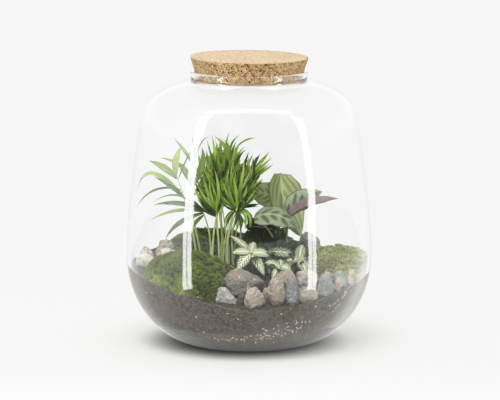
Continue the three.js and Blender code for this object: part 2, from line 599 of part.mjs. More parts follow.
// Fittonia: sprigs of small oval leaves round a bud. Leaf rows give the tip and the width.
const fittoniaSprigs = [
  { bud: [2, -30, 96], leaves: [[-18, -34, 97, 11], [-21, -20, 114, 9], [6, -22, 108, 10],
    [22, -34, 94, 12], [-12, -44, 81, 13], [16, -46, 76, 11]] },
  { bud: [20, -22, 96], leaves: [[30, -14, 106, 12], [48, -30, 93, 13], [9, -12, 101, 9],
    [36, -4, 109, 10], [21, -38, 75, 8]] },
  { bud: [51, -30, 89], leaves: [[55, -22, 105, 13], [61, -28, 90, 11], [59, -42, 78, 14],
    [37, -34, 87, 11], [41, -12, 100, 12]] },
  { bud: [32, -40, 83], leaves: [[15, -36, 88, 9], [23, -52, 73, 8], [42, -50, 82, 11],
    [33, -30, 91, 9]] },
];
const fittoniaOutline = [0.3, 0.88, 1, 0.66, 0];

function fittoniaLeaf(bud, [x, y, z, width], shift, extra) {
  const root = vec(...bud);
  const tip = vec(x, y + shift, z);
  const via = root.clone().lerp(tip, 0.5).add(vec(0, 0, 2.5));
  const shape = {
    width: width + extra, outline: fittoniaOutline, columns: 2, thickness: 1 + extra,
    foldLeft: 8, foldRight: 8, wave: 0.3,
  };
  return blade(arc(root, via, tip), vec(0, -0.75, 0.65), shape);
}

fittoniaSprigs.forEach(({ bud, leaves }, k) => {
  const [x, y, z] = bud;
  const obstacles = joined(placed);
  const budRadius = 2.4;
  const parts = [
    standingStem([vec(x + 2, y + 3, 70), vec(x, y, z)], 1.2, 1),
    toSolid(new THREE.IcosahedronGeometry(budRadius, 0).translate(x, y, z)),
  ];
  for (const row of leaves) {
    const leaf = clearLeaf((shift, extra) => fittoniaLeaf(bud, row, shift, extra), obstacles);
    if (leaf) parts.push(leaf);
  }
  const sprig = mainBody(joined(parts));
  placed.push(sprig);
  addPiece(`fittonia_sprig_${k + 1}`, sprig, 0xc9d6a3, 0.6);
});

// Soil with a pocket for everything that sits in it
addPiece('soil', soilBlank().subtract(joined(pockets)), 0x55504a, 0.95);

export default model;
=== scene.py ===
# Looks of the glass plant terrarium: studio, glass, cork, soil, stones, moss and plants.
# Tables hold millimetres in the frame's own axes, and meshes are made in metres.
import math

import bpy
import numpy as np
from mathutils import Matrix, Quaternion, Vector, noise


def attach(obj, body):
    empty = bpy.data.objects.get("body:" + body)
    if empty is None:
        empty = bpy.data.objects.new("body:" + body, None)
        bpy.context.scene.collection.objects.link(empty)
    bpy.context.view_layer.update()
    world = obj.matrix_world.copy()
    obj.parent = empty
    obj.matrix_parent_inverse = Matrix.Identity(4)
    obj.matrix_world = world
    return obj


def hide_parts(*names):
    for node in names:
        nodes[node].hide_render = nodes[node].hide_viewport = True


mm = 0.001
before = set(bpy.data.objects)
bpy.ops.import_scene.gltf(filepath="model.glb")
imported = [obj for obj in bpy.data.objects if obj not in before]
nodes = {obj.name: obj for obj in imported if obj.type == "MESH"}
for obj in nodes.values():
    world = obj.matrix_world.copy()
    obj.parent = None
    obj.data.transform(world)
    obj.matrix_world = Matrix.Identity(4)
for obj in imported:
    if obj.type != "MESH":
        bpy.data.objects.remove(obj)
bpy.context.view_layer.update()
random = np.random.default_rng(7)
print("frame loaded:", len(nodes), "nodes")


# Shader maths: one socket of a material's nodes, used like a number
class Wire:
    def __init__(self, tree, socket=None):
        self.tree = tree
        self.socket = socket

    def node(self, kind, settings=None, sockets=None, output=0):
        made = self.tree.nodes.new("ShaderNode" + kind)
        for key, value in (settings or {}).items():
            setattr(made, key, value)
        for key, value in (sockets or {}).items():
            if isinstance(value, Wire):
                self.tree.links.new(value.socket, made.inputs[key])
            else:
                made.inputs[key].default_value = value
        return Wire(self.tree, made.outputs[output] if made.outputs else None)

    def math(self, operation, first, second=0.0):
        return self.node("Math", {"operation": operation}, {0: first, 1: second})

    def __add__(self, other):
        return self.math("ADD", self, other)

    def __radd__(self, other):
        return self.math("ADD", other, self)

    def __sub__(self, other):
        return self.math("SUBTRACT", self, other)

    def __rsub__(self, other):
        return self.math("SUBTRACT", other, self)

    def __mul__(self, other):
        return self.math("MULTIPLY", self, other)

    def __rmul__(self, other):
        return self.math("MULTIPLY", other, self)

    def __truediv__(self, other):
        return self.math("DIVIDE", self, other)

    def __pow__(self, other):
        return self.math("POWER", self, other)

    def __abs__(self):
        return self.math("ABSOLUTE", self)


def tint(red, green, blue):  # a colour given as on a screen, 0 to 255
    def linear(value):
        value = value / 255
        return value / 12.92 if value <= 0.04045 else ((value + 0.055) / 1.055) ** 2.4

    return (linear(red), linear(green), linear(blue), 1.0)


def darker(colour, share):
    return tuple(value * share for value in colour[:3]) + (1.0,)


def blend(start, end, factor):  # colour mix
    root = next(value for value in (factor, start, end) if isinstance(value, Wire))
    return root.node("Mix", {"data_type": "RGBA"}, {0: factor, 6: start, 7: end}, 2)


def ramp(value, low, high):  # smooth step from 0 at low to 1 at high
    sockets = {"Value": value, "From Min": low, "From Max": high}
    return value.node("MapRange", {"interpolation_type": "SMOOTHSTEP"}, sockets)


def newPaint(name):
    material = bpy.data.materials.new(name)
    material.use_nodes = True
    material.node_tree.nodes.clear()
    root = Wire(material.node_tree)
    return material, root, root.node("TexCoord", output="Object")


def parts(root, vector):  # x, y and z of a vector
    split = root.node("SeparateXYZ", sockets={0: vector}).socket.node
    return [Wire(root.tree, output) for output in split.outputs]


def bladePlace(root):  # across the blade from -1 to 1, and along it from 0 to 1
    across, along, _ = parts(root, root.node("UVMap", {"uv_map": "blade"}))
    return across * 2 - 1, along


def attribute(root, name):
    return root.node("Attribute", {"attribute_name": name}, output=2)


def cloud(root, place, scale, detail=3.0, roughness=0.55, distortion=0.0):
    sockets = {"Vector": place, "Scale": scale, "Detail": detail, "Roughness": roughness,
               "Distortion": distortion}
    return root.node("TexNoise", sockets=sockets)


def cells(root, place, scale, feature="F1", output=0):
    return root.node("TexVoronoi", {"feature": feature}, {"Vector": place, "Scale": scale}, output)


def cellShade(root, place, scale):  # one random value for each cell
    return root.node("SeparateColor", sockets={0: cells(root, place, scale, output=1)})


def warp(root, place, share, cloudy):  # a place pushed a little way by a cloud
    return root.node("Mix", {"data_type": "VECTOR"}, {0: share, 4: place, 5: cloudy}, 1)


def finishPaint(material, root, colour, height=None, relief=0.001, **sockets):
    if height is not None:
        bump = {"Height": height, "Distance": relief, "Strength": 1.0}
        sockets["Normal"] = root.node("Bump", sockets=bump)
    named = {key.replace("_", " "): value for key, value in sockets.items()}
    shader = root.node("BsdfPrincipled", sockets={"Base Color": colour, **named})
    root.node("OutputMaterial", sockets={"Surface": shader})
    return material


def mottledPaint(name, first, second, scale, roughness, grain=None):
    material, root, place = newPaint(name)
    colour = blend(first, second, cloud(root, place, scale))
    height = cloud(root, place, grain) if grain else None
    return finishPaint(material, root, colour, height, 0.0003, Roughness=roughness)


def newObject(name, data):
    made = bpy.data.objects.new(name, data)
    bpy.context.scene.collection.objects.link(made)
    return made


def vectors(values, key):  # one vector for each vertex, such as "co" or "normal"
    flat = np.zeros(len(values) * 3)
    values.foreach_get(key, flat)
    return flat.reshape(-1, 3)


def fullTurn(count):  # angles evenly round
    return 2 * math.pi * np.arange(count) / count


def ringPairs(first, turns):  # each point of a ring with the next one
    return [(first + k, first + (k + 1) % turns) for k in range(turns)]


def ringFaces(rows, turns, first=0, back=False):  # quads between rings that follow each other
    pairs = [pair for row in range(rows) for pair in ringPairs(first + row * turns, turns)]
    if back:
        return [(a, b, b + turns, a + turns) for a, b in pairs]
    return [(a, a + turns, b + turns, b) for a, b in pairs]


def fan(centre, first, turns, back=False):  # triangles between a point and a ring
    return [(centre, b, a) if back else (centre, a, b) for a, b in ringPairs(first, turns)]


# Meshes: points, faces and what the materials read, gathered before they become one piece
class Form:
    def __init__(self):
        self.points = []
        self.faces = []
        self.places = []
        self.values = []
        self.slots = []
        self.count = 0

    def add(self, points, faces, places=None, value=0.5, slot=0):
        points = np.asarray(points, float).reshape(-1, 3)
        self.points.append(points)
        self.faces += [[corner + self.count for corner in face] for face in faces]
        flat = np.zeros((len(points), 2)) if places is None else np.asarray(places, float)
        self.places.append(flat)
        self.values.append(np.broadcast_to(np.asarray(value, float), (len(points),)))
        self.slots += list(slot) if isinstance(slot, (list, tuple)) else [slot] * len(faces)
        self.count += len(points)

    def piece(self, name, materials, smooth=True):
        mesh = bpy.data.meshes.new(name)
        points = np.concatenate(self.points) * mm
        mesh.from_pydata(points.tolist(), [], self.faces)
        for material in materials:
            mesh.materials.append(material)
        mesh.polygons.foreach_set("material_index", np.array(self.slots, np.int32))
        mesh.polygons.foreach_set("use_smooth", np.full(len(mesh.polygons), smooth))
        corners = np.zeros(len(mesh.loops), np.int32)
        mesh.loops.foreach_get("vertex_index", corners)
        layer = mesh.uv_layers.new(name="blade")
        layer.data.foreach_set("uv", np.concatenate(self.places)[corners].astype(np.float32).ravel())
        shade = mesh.attributes.new("shade", "FLOAT", "POINT")
        shade.data.foreach_set("value", np.concatenate(self.values).astype(np.float32))
        mesh.validate()
        return newObject(name, mesh)


def settle(piece, slot, *replaced):
    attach(piece, "root")
    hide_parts(*replaced)
    return piece


def bezier(p0, p1, p2, p3, steps):
    t = np.linspace(0, 1, steps + 1)[:, None]
    corners = [np.array(p, float) for p in (p0, p1, p2, p3)]
    weights = [(1 - t) ** 3, 3 * (1 - t) ** 2 * t, 3 * (1 - t) * t ** 2, t ** 3]
    return sum(weight * corner for weight, corner in zip(weights, corners))


def smoothCurve(points, steps):  # centripetal curve through all points
    points = [np.array(p, float) for p in points]
    ends = [2 * points[0] - points[1], *points, 2 * points[-1] - points[-2]]
    made = []
    for a, b, c, d in zip(ends, ends[1:], ends[2:], ends[3:]):
        ta = 0.0
        tb = ta + math.sqrt(np.linalg.norm(b - a))
        tc = tb + math.sqrt(np.linalg.norm(c - b))
        td = tc + math.sqrt(np.linalg.norm(d - c))
        for t in np.linspace(tb, tc, 17)[:-1]:
            ab = (tb - t) / (tb - ta) * a + (t - ta) / (tb - ta) * b
            bc = (tc - t) / (tc - tb) * b + (t - tb) / (tc - tb) * c
            cd = (td - t) / (td - tc) * c + (t - tc) / (td - tc) * d
            abc = (tc - t) / (tc - ta) * ab + (t - ta) / (tc - ta) * bc
            bcd = (td - t) / (td - tb) * bc + (t - tb) / (td - tb) * cd
            made.append((tc - t) / (tc - tb) * abc + (t - tb) / (tc - tb) * bcd)
    return evenly(np.array([*made, points[-1]]), steps)


def evenly(route, steps):
    gone = np.concatenate([[0], np.cumsum(np.linalg.norm(np.diff(route, axis=0), axis=1))])
    wanted = np.linspace(0, gone[-1], steps + 1)
    return np.stack([np.interp(wanted, gone, route[:, k]) for k in range(3)], axis=1)


def arc(root, via, tip, steps):  # through a root, a middle and a tip
    root, via, tip = (np.array(p, float) for p in (root, via, tip))
    bend = 2 * via - 0.5 * root - 0.5 * tip
    t = np.linspace(0, 1, 65)[:, None]
    return evenly((1 - t) ** 2 * root + 2 * (1 - t) * t * bend + t ** 2 * tip, steps)


def unit(vector):
    return vector / np.maximum(np.linalg.norm(vector, axis=-1, keepdims=True), 1e-9)


def between(values, place):  # smooth line through evenly spaced values
    spot = place * (len(values) - 1)
    index = np.clip(np.floor(spot).astype(int), 0, len(values) - 2)
    padded = np.array([2 * values[0] - values[1], *values, 2 * values[-1] - values[-2]])
    a, b, c, d = (padded[index + k] for k in range(4))
    t = spot - index
    return b + 0.5 * t * (c - a + t * (2 * a - 5 * b + 4 * c - d + t * (3 * (b - c) + d - a)))


# Studio: white sweep, soft light and the frame of light that the glass mirrors
studio = {
    "cameraFrom": (0.001, -3.081, 0.655),
    "cameraAt": (0.001, 0.0, 0.1466),
    "lens": 218.3,
    "sweepHalfWidth": 6.2,
    "sweepFront": -4.5,
    "sweepBack": 3.9,
    "sweepHeight": 7.8,
    "sweepGlow": 0.84,
    "ambient": 0.4,
    "keyPower": 27.0,
    "keyPlace": (-0.3, -0.5, 1.45),
    "keyAim": (0.0, 0.0, 0.12),
    "keySize": (0.9, 0.7),
    "whitest": 1.6,
    # Spans in metres of the painted contact shadow that the sweep's glow carries round the foot
    "paintedContactShadow": (0.06, 0.122),
    "paintedShadowSpread": (0.09, 0.2),
    # A glowing disc of painted contact shadow that the foot's reflections see
    "discRadius": 105,
    "discHeight": -0.3,
    "discGlow": 1.3,
}


def makeCamera():
    data = bpy.data.cameras.new("camera")
    data.lens = studio["lens"]
    data.sensor_width = 36
    camera = newObject("camera", data)
    camera.location = studio["cameraFrom"]
    look = Vector(studio["cameraAt"]) - camera.location
    camera.rotation_euler = look.to_track_quat("-Z", "Y").to_euler()
    bpy.context.scene.camera = camera


def makeSweep():
    material, root, place = newPaint("studio sweep")
    # The sweep glows as well as taking light. Its glow is painted light: a painted contact shadow round the
    # jar's foot, centred 5 mm to the left, then brighter further out and in front of the jar
    away = root.node("VectorMath", {"operation": "DISTANCE"}, {0: place, 1: (-0.005, 0.0, 0.0)}, 1)
    glow = blend(tint(40, 40, 39), tint(218, 218, 216), ramp(away, *studio["paintedContactShadow"]))
    glow = blend(glow, tint(251, 251, 250), ramp(away, *studio["paintedShadowSpread"]))
    glow = blend(glow, (1.13, 1.13, 1.12, 1), ramp(away, 0.6, 3.2))
    depth = parts(root, place)[1]
    glow = blend(glow, (1.6, 1.6, 1.59, 1), ramp(depth * -1.0, 0.12, 0.5))
    colour = blend(tint(122, 122, 120), tint(126, 126, 124), cloud(root, place, 3.0))
    finishPaint(material, root, colour, Roughness=0.9, Specular_IOR_Level=0.1,
                Emission_Color=glow, Emission_Strength=studio["sweepGlow"])
    reach, back, height = studio["sweepHalfWidth"], studio["sweepBack"], studio["sweepHeight"]
    bend = bezier((back - 2.0, 0), (back - 0.5, 0), (back, 0.5), (back, 2.0), 24)
    line = np.array([(studio["sweepFront"], 0), *bend, (back, height)])
    points = [(side * reach / mm, y / mm, z / mm) for y, z in line for side in (-1, 1)]
    faces = [(2 * k, 2 * k + 1, 2 * k + 3, 2 * k + 2) for k in range(len(line) - 1)]
    form = Form()
    form.add(points, faces)
    sweep = form.piece("sweep", [material])
    sweep.visible_glossy = False  # the glass mirrors the world's lower half instead
    dark, root, place = newPaint("painted contact shadow")
    away = root.node("VectorMath", {"operation": "LENGTH"}, {0: place}, 1)
    finishPaint(dark, root, (0, 0, 0, 1), Specular_IOR_Level=0.0, Emission_Strength=studio["discGlow"],
                Emission_Color=blend((0.02, 0.02, 0.02, 1), (1, 1, 1, 1), ramp(away, 0.056, 0.105)))
    near = Form()  # painted contact shadow: this glowing disc, dark under the foot and white further out, lies just under the sweep, and only the foot's own reflections see it
    wide, low = studio["discRadius"], studio["discHeight"]
    ring = [(wide * math.cos(a), wide * math.sin(a), low) for a in fullTurn(64)]
    near.add(ring, [tuple(range(64))])
    near.piece("floor at the foot", [dark])


# What the glass mirrors: a lit frame round a dim front. Places lie on an upright sheet one unit
# in front of the jar: how far to the side, then how far up.
mirrored = {
    "leftInner": 1.43, "leftBulge": 0.0, "leftWaist": 0.19, "leftWidth": 0.64,
    "rightInner": 1.53, "rightBulge": 0.19, "rightWaist": 0.2, "rightWidth": 0.66,
    "narrowing": 0.25, "flare": 0.25, "bottom": -0.85, "bottomSlant": 0.45,
    "stripTop": 3.3, "top": 4.2, "topOuter": 25.0, "topSpread": 0.6,
    "stripGlow": 20.0, "topGlow": 9.0, "front": 0.2, "leftWall": 3.2, "rightWall": 2.0,
    "leftFloor": 1.8, "rightFloor": 3.5, "behind": 1.05, "lowBehind": 1.25, "floor": 0.6,
}


def makeWorld():
    world = bpy.data.worlds.new("studio")
    bpy.context.scene.world = world
    world.use_nodes = True
    world.node_tree.nodes.clear()
    root = Wire(world.node_tree)
    x, y, z = parts(root, root.node("TexCoord", output="Generated"))
    ahead = root.math("MAXIMUM", y * -1.0, 0.02)
    side, level = x / ahead, z / ahead
    isFront = ramp(y * -1.0, 0.02, 0.06)
    bulge, waist = ramp(level, -0.05, 0.12), ramp(level, 0.13, 0.25)
    over = root.math("MAXIMUM", level - 0.7, 0.0)
    under = root.math("MAXIMUM", level * -1.0 - 0.4, 0.0)

    def inside(value, low, high, soft, softHigh=None):
        softHigh = softHigh or soft
        return ramp(value, low - soft, low + soft) * (1 - ramp(value, high - softHigh, high + softHigh))

    def strip(place, which):  # an upright lamp, and what lies on its inner side
        start = waist * -mirrored[which + "Waist"] + bulge * mirrored[which + "Bulge"]
        start = start + mirrored[which + "Inner"] + (over + under) * mirrored["flare"]
        wide = (1 - waist * mirrored["narrowing"]) * mirrored[which + "Width"] + (over + under) * 0.2
        across = (place - start) / wide
        twoTubes = (1 - 0.55 * inside(across, 0.38, 0.54, 0.06)) * (1 - 0.15 * ramp(across, 0.62, 1.0))
        foot = level + (place - 1.5) * mirrored["bottomSlant"]
        upright = inside(foot, mirrored["bottom"], 90.0, 0.04)
        upright = upright * (1 - ramp(level, mirrored["stripTop"] - 0.4, mirrored["stripTop"] + 0.3))
        return inside(across, 0.0, 1.0, 0.08) * twoTubes * upright, 1 - ramp(across, -0.1, 0.1)

    left, rightOfLeft = strip(side * -1.0, "left")
    right, leftOfRight = strip(side, "right")
    slant = x / root.math("MAXIMUM", z, 0.02)
    top = inside(level, mirrored["top"], mirrored["topOuter"], 0.5, 6.0)
    top = top * inside(slant, -mirrored["topSpread"], mirrored["topSpread"], 0.05)
    dim = rightOfLeft * leftOfRight * inside(level, mirrored["bottom"], mirrored["top"], 0.1) * isFront
    below = (1 - ramp(z, -0.75, -0.42)) * 0.8 + 0.2
    lowFront = inside(side, -1.7, 1.9, 0.9) * ramp(level * -1.0, 0.7, 0.95) * isFront
    toRight = ramp(x, -0.2, 0.3)
    walls = mirrored["leftWall"] + (mirrored["rightWall"] - mirrored["leftWall"]) * toRight
    behind = mirrored["behind"] + inside(z, 0.04, 0.3, 0.12) * mirrored["lowBehind"]
    walls = walls + (behind - walls) * ramp(y, -0.4, 0.45)
    low = mirrored["leftFloor"] + (mirrored["rightFloor"] - mirrored["leftFloor"]) * toRight
    around = low * (ramp(z, -0.85, -0.25) * 0.6 + 0.4)
    around = around + (walls - around) * ramp(z, -0.3, 0.0)
    around = around + (behind - around) * ramp(y, 0.62, 0.95)
    around = around * (1 - lowFront) + mirrored["floor"] * below * lowFront
    glow = around + (mirrored["front"] - around) * dim
    glow = glow + (left + right) * isFront * mirrored["stripGlow"]
    glow = glow + top * isFront * mirrored["topGlow"]
    isGlossy = root.node("LightPath", output="Is Glossy Ray")
    isSeen = root.node("LightPath", output="Is Camera Ray")
    strength = studio["ambient"] + (glow - studio["ambient"]) * isGlossy
    strength = strength + (1.0 - strength) * isSeen
    light = root.node("Background", sockets={"Color": tint(254, 255, 254), "Strength": strength})
    root.node("OutputWorld", sockets={"Surface": light})


def makeKeyLight():
    data = bpy.data.lights.new("overhead softbox", "AREA")
    data.shape = "RECTANGLE"
    data.size, data.size_y = studio["keySize"]
    data.energy = studio["keyPower"]
    light = newObject("overhead softbox", data)
    light.location = studio["keyPlace"]
    light.visible_glossy = False  # the glass mirrors only the lamps drawn in the world
    light.visible_transmission = False
    light.rotation_euler = (Vector(studio["keyAim"]) - light.location).to_track_quat("-Z", "Y").to_euler()


def softenHighlights():  # true tones up to 0.7, then a slow climb to white
    view = bpy.context.scene.view_settings
    view.view_transform = "Standard"
    view.use_curve_mapping = True
    whitest = studio["whitest"]
    view.curve_mapping.white_level = (whitest, whitest, whitest)
    for light, shown in ((0.2, 0.2), (0.45, 0.45), (0.7, 0.7), (0.85, 0.82), (1.0, 0.895), (1.2, 0.945)):
        view.curve_mapping.curves[3].points.new(light / whitest, shown)
    view.curve_mapping.update()


makeCamera()
makeSweep()
makeWorld()
makeKeyLight()
softenHighlights()
print("studio ready")


# Glass jar: outer wall, rounded rim and inner wall turned as one closed profile
jar = {
    "radius": 126.5, "widest": 90.0, "foot": 60.0, "footInner": 48.0, "punt": 1.5, "base": 5.5,
    "wall": 3.5, "shoulderRadius": 113.0, "shoulder": 222.0, "neckRadius": 59.2, "neck": 272.5,
    "beadRadius": 60.6, "rim": 281.0, "mouth": 56.9, "turns": 192,
}


def innerWall():
    foot = (55, jar["base"])
    widest = (jar["radius"] - jar["wall"], jar["widest"])
    shoulder = (jar["shoulderRadius"] - jar["wall"], jar["shoulder"])
    neck = (jar["mouth"], jar["neck"] - 1.5)
    return np.concatenate([
        bezier(foot, (88, jar["base"] + 1.5), (123, 42), widest, 30),
        bezier(widest, (123, 130), (115.5, 180), shoulder, 18)[1:],
        bezier(shoulder, (105.5, 248), (92, 260), neck, 24)[1:],
    ])


def outerWall():
    widest = (jar["radius"], jar["widest"])
    shoulder = (jar["shoulderRadius"], jar["shoulder"])
    neck = (jar["neckRadius"], jar["neck"])
    return np.concatenate([
        [(0, jar["punt"]), (jar["footInner"] - 4, jar["punt"])],
        bezier((jar["footInner"] - 3, jar["punt"]), (jar["footInner"] - 1.5, 1.4),
               (jar["footInner"] - 1, 0), (jar["footInner"] + 1, 0), 6),
        [(jar["foot"] - 6, 0)],
        bezier((jar["foot"] - 2, 0), (92, 2.2), (jar["radius"], 40), widest, 34),
        bezier(widest, (jar["radius"], 130), (119, 180), shoulder, 18)[1:],
        bezier(shoulder, (109, 250), (95, 263), (62, 270.5), 26)[1:],
        bezier((60.2, 271.2), neck, (59.2, 273.5), (jar["beadRadius"], 276), 6),
        bezier((jar["beadRadius"], 277.5), (jar["beadRadius"], 280.2), (59.6, 281.0),
               (58.7, jar["rim"]), 6),
        bezier((58.4, jar["rim"]), (57.4, 281.0), (jar["mouth"], 280.4), (jar["mouth"], 279.0), 5),
    ])


def turned(profile, turns):  # points and faces of a profile spun round the Z axis
    ring = [(r, z) for r, z in profile if r > 1e-6]
    points = [(r * math.sin(a), -r * math.cos(a), z) for r, z in ring for a in fullTurn(turns)]
    faces = ringFaces(len(ring) - 1, turns, back=True)
    first, last = len(points), len(points) + 1
    points += [(0, 0, profile[0][1]), (0, 0, profile[-1][1])]
    top = (len(ring) - 1) * turns
    for k in range(turns):
        faces.append((first, (k + 1) % turns, k))
        faces.append((last, top + k, top + (k + 1) % turns))
    return points, faces


def glassPaint():
    material, root, place = newPaint("clear glass")
    ripple = cloud(root, place, 9.0, 1.0)
    return finishPaint(material, root, tint(254, 255, 255), ripple, 0.00006,
                       Roughness=0.0, IOR=1.42, Transmission_Weight=1.0)


def makeJar():
    profile = np.concatenate([outerWall(), innerWall()[::-1], [(0, jar["base"])]])
    form = Form()
    form.add(*turned(profile, jar["turns"]))
    piece = form.piece("jar_glass", [glassPaint()])
    piece.visible_shadow = False  # daylight reaches the plants unhindered
    piece.visible_diffuse = False
    settle(piece, "glass", "glass_jar")


wallLine = innerWall()


def innerRadius(z):
    return np.interp(z, wallLine[:, 1], wallLine[:, 0])


def insideGlass(points, clearance=0.35):  # pulls points back that would stand in the glass
    points = np.asarray(points, float)
    flat = np.hypot(points[:, 0], points[:, 1])
    most = innerRadius(points[:, 2]) - clearance
    shrink = np.where(flat > most, most / np.maximum(flat, 1e-6), 1.0)
    made = points.copy()
    made[:, 0] *= shrink
    made[:, 1] *= shrink
    made[:, 2] = np.maximum(made[:, 2], jar["base"] + clearance)
    return made


# Cork stopper: tapered disc of pressed granules, slightly tilted
cork = {
    "bottomRadius": 54.7, "topRadius": 61.1, "bottom": 275.5, "top": 295.5, "tilt": 0.8,
    "pit": 0.35, "lidLight": tint(200, 178, 152), "lidDark": tint(176, 150, 120),
    "light": tint(222, 190, 142), "dark": tint(156, 118, 76), "granule": tint(66, 40, 24),
}


def corkPaint(name, light, dark, brownness):
    material, root, place = newPaint(name)
    warped = warp(root, place, 0.0015, cloud(root, place, 500.0))
    shade = cellShade(root, warped, 620.0)
    edges = cells(root, warped, 620.0, "DISTANCE_TO_EDGE")
    fine = cloud(root, place, 1500.0, 3.0)
    broad = cloud(root, place, 60.0, 2.0)
    pick = shade * 0.7 + broad * 0.35 + fine * 0.35 - 0.2
    colour = blend(light, dark, ramp(pick, 0.2, 0.85))
    brown = ramp(shade, 0.83, 0.86) * ramp(cloud(root, place, 800.0), 0.42, 0.52)
    colour = blend(colour, cork["granule"], brown * brownness)
    colour = blend(colour, cork["granule"], (1 - ramp(edges, 0.0, 0.13)) * ramp(fine, 0.45, 0.6) * brownness)
    height = ramp(edges, 0.0, 0.12) * 0.5 + fine * 0.5 - brown * 0.4
    return finishPaint(material, root, colour, height, 0.0004, Roughness=0.85 + fine * 0.1,
                       Specular_IOR_Level=0.25)


def makeCork():
    r0, r1, z0, z1 = cork["bottomRadius"], cork["topRadius"], cork["bottom"], cork["top"]
    side = [(r0 + (r1 - r0) * t, z0 + (z1 - z0) * t) for t in np.linspace(0.05, 0.96, 22)]
    lid = [(r, z1) for r in np.linspace(r1 - 1.6, 2, 16)]
    sole = [(r, z0) for r in np.linspace(2, r0 - 1, 8)]
    profile = [(0, z0), *sole, (r0 - 0.2, z0 + 0.3), *side, (r1 - 0.35, z1 - 0.3), *lid, (0, z1)]
    points, faces = turned(profile, 144)
    points = np.array(points)
    for k, point in enumerate(points):
        pit = noise.noise(Vector(point) * 0.35) + 0.6 * noise.noise(Vector(point) * 0.9)
        flat = math.hypot(point[0], point[1])
        if flat > 1:
            inward = cork["pit"] * (0.5 + 0.5 * pit) * min(1, flat / r0)
            points[k, :2] *= 1 - inward / flat
        if abs(point[2] - z1) < 0.5:
            points[k, 2] -= 0.25 * max(0, pit)
    angle = math.radians(cork["tilt"])
    x, z = points[:, 0].copy(), points[:, 2] - z0
    points[:, 0] = x * math.cos(angle) + z * math.sin(angle)
    points[:, 2] = z0 - x * math.sin(angle) + z * math.cos(angle)
    slots = [1 if min(points[k][2] for k in face) > z1 - 1.2 else 0 for face in faces]
    form = Form()
    form.add(points, faces, slot=slots)
    paints = [corkPaint("cork side", cork["light"], cork["dark"], 0.9),
              corkPaint("cork lid", cork["lidLight"], cork["lidDark"], 0.25)]
    settle(form.piece("cork_body", paints), "cork", "cork_stopper")


makeJar()
makeCork()
print("jar and cork ready")


# Soil: low in front, rising to the sides and the back, humped in the middle
# shaded is how much of its colour the soil's top surface keeps under its painted shade
soil = {
    "front": 54.0, "left": 82.0, "right": 76.0, "back": 91.0, "middle": 80.0, "reach": 120.0,
    "rings": 96, "turns": 240, "lump": 1.1, "setBack": -0.2, "overFloor": 1.5, "shaded": 0.32,
    "dark": tint(80, 75, 68), "brown": tint(118, 110, 98), "grey": tint(114, 110, 103),
}


def soilHeight(x, y):
    flat = np.hypot(x, y)
    out = np.minimum(flat / soil["reach"], 1)
    side = np.abs(x) / np.maximum(flat, 1e-6)
    edge = np.where(x < 0, soil["left"], soil["right"])
    front = soil["front"] + (edge - soil["front"]) * side ** np.where(x < 0, 1.25, 2.0)
    rear = edge + (soil["back"] - edge) * (1 - side)
    reach = 1 - (1 - out) ** 1.3
    lumps = 0.7 * np.sin(x * 0.16 + 1) * np.sin(y * 0.14) + 0.5 * np.sin(x * 0.31 - y * 0.27)
    return soil["middle"] + (np.where(y < 0, front, rear) - soil["middle"]) * reach + lumps


def soilPaint(name="potting soil", depth=1.0):
    material, root, place = newPaint(name)
    broad = cloud(root, place, 28.0, 3.0)
    crumbs = cellShade(root, place, 520.0)
    fine = cloud(root, place, 700.0, 5.0, 0.7)
    colour = blend(soil["dark"], soil["brown"], ramp(fine * 0.6 + crumbs * 0.4, 0.3, 0.75))
    colour = blend(colour, soil["grey"], ramp(broad, 0.42, 0.62) * 0.55)
    colour = blend(colour, tint(138, 120, 98), ramp(crumbs, 0.93, 0.96) * ramp(fine, 0.45, 0.55) * 0.7)
    # A depth below 1 darkens the colour towards black: painted shade
    colour = blend((0.0, 0.0, 0.0, 1.0), colour, depth)
    height = fine * 0.5 + cells(root, place, 420.0) * -0.5
    return finishPaint(material, root, colour, height, 0.0012, Roughness=0.95, Specular_IOR_Level=0.2)


def makeSoil():
    rings, turns = soil["rings"], soil["turns"]
    angles = fullTurn(turns)
    rims = []
    for angle in angles:  # where the surface meets the glass, at this angle
        reach = 100.0
        for _ in range(12):
            z = float(soilHeight(reach * math.sin(angle), -reach * math.cos(angle)))
            reach = float(innerRadius(z)) - soil["setBack"]
        rims.append(reach)
    rims = np.array(rims)
    rows = []
    for k in range(1, rings + 1):
        radius = rims * k / rings
        x, y = radius * np.sin(angles), -radius * np.cos(angles)
        z = soilHeight(x, y)
        keep = 1 - (k / rings) ** 12
        for j in range(len(angles)):
            spot = Vector((x[j], y[j], 0))
            rough = noise.fractal(spot * 0.16, 1.0, 2.0, 4) + 0.5 * noise.noise(spot * 0.7)
            z[j] += soil["lump"] * rough * keep
        rows.append(np.stack([x, y, z], axis=1))
    tops, floor = rows[-1][:, 2], jar["base"] + soil["overFloor"]
    for t in np.linspace(0, 1, 41)[1:]:  # down the glass to the flat floor
        z = tops + (floor - tops) * t
        radius = innerRadius(z) - soil["setBack"]
        rows.append(np.stack([radius * np.sin(angles), -radius * np.cos(angles), z], axis=1))
    points = np.concatenate(rows)
    faces = fan(len(points), 0, turns) + ringFaces(len(rows) - 1, turns)
    faces += fan(len(points) + 1, (len(rows) - 1) * turns, turns, back=True)
    middle = float(soilHeight(0.0, 0.001))
    points = np.vstack([points, (0, 0, middle), (0, 0, floor)])
    # Most of the top surface, away from the glass, takes the second paint, darkened in painted shade
    topFaces = (rings - 1) * turns
    form = Form()
    form.add(points, faces, slot=[1] * topFaces + [0] * (len(faces) - topFaces))
    settle(form.piece("soil_bed", [soilPaint(), soilPaint("soil in painted shade", soil["shaded"])]), "soil", "soil")


makeSoil()


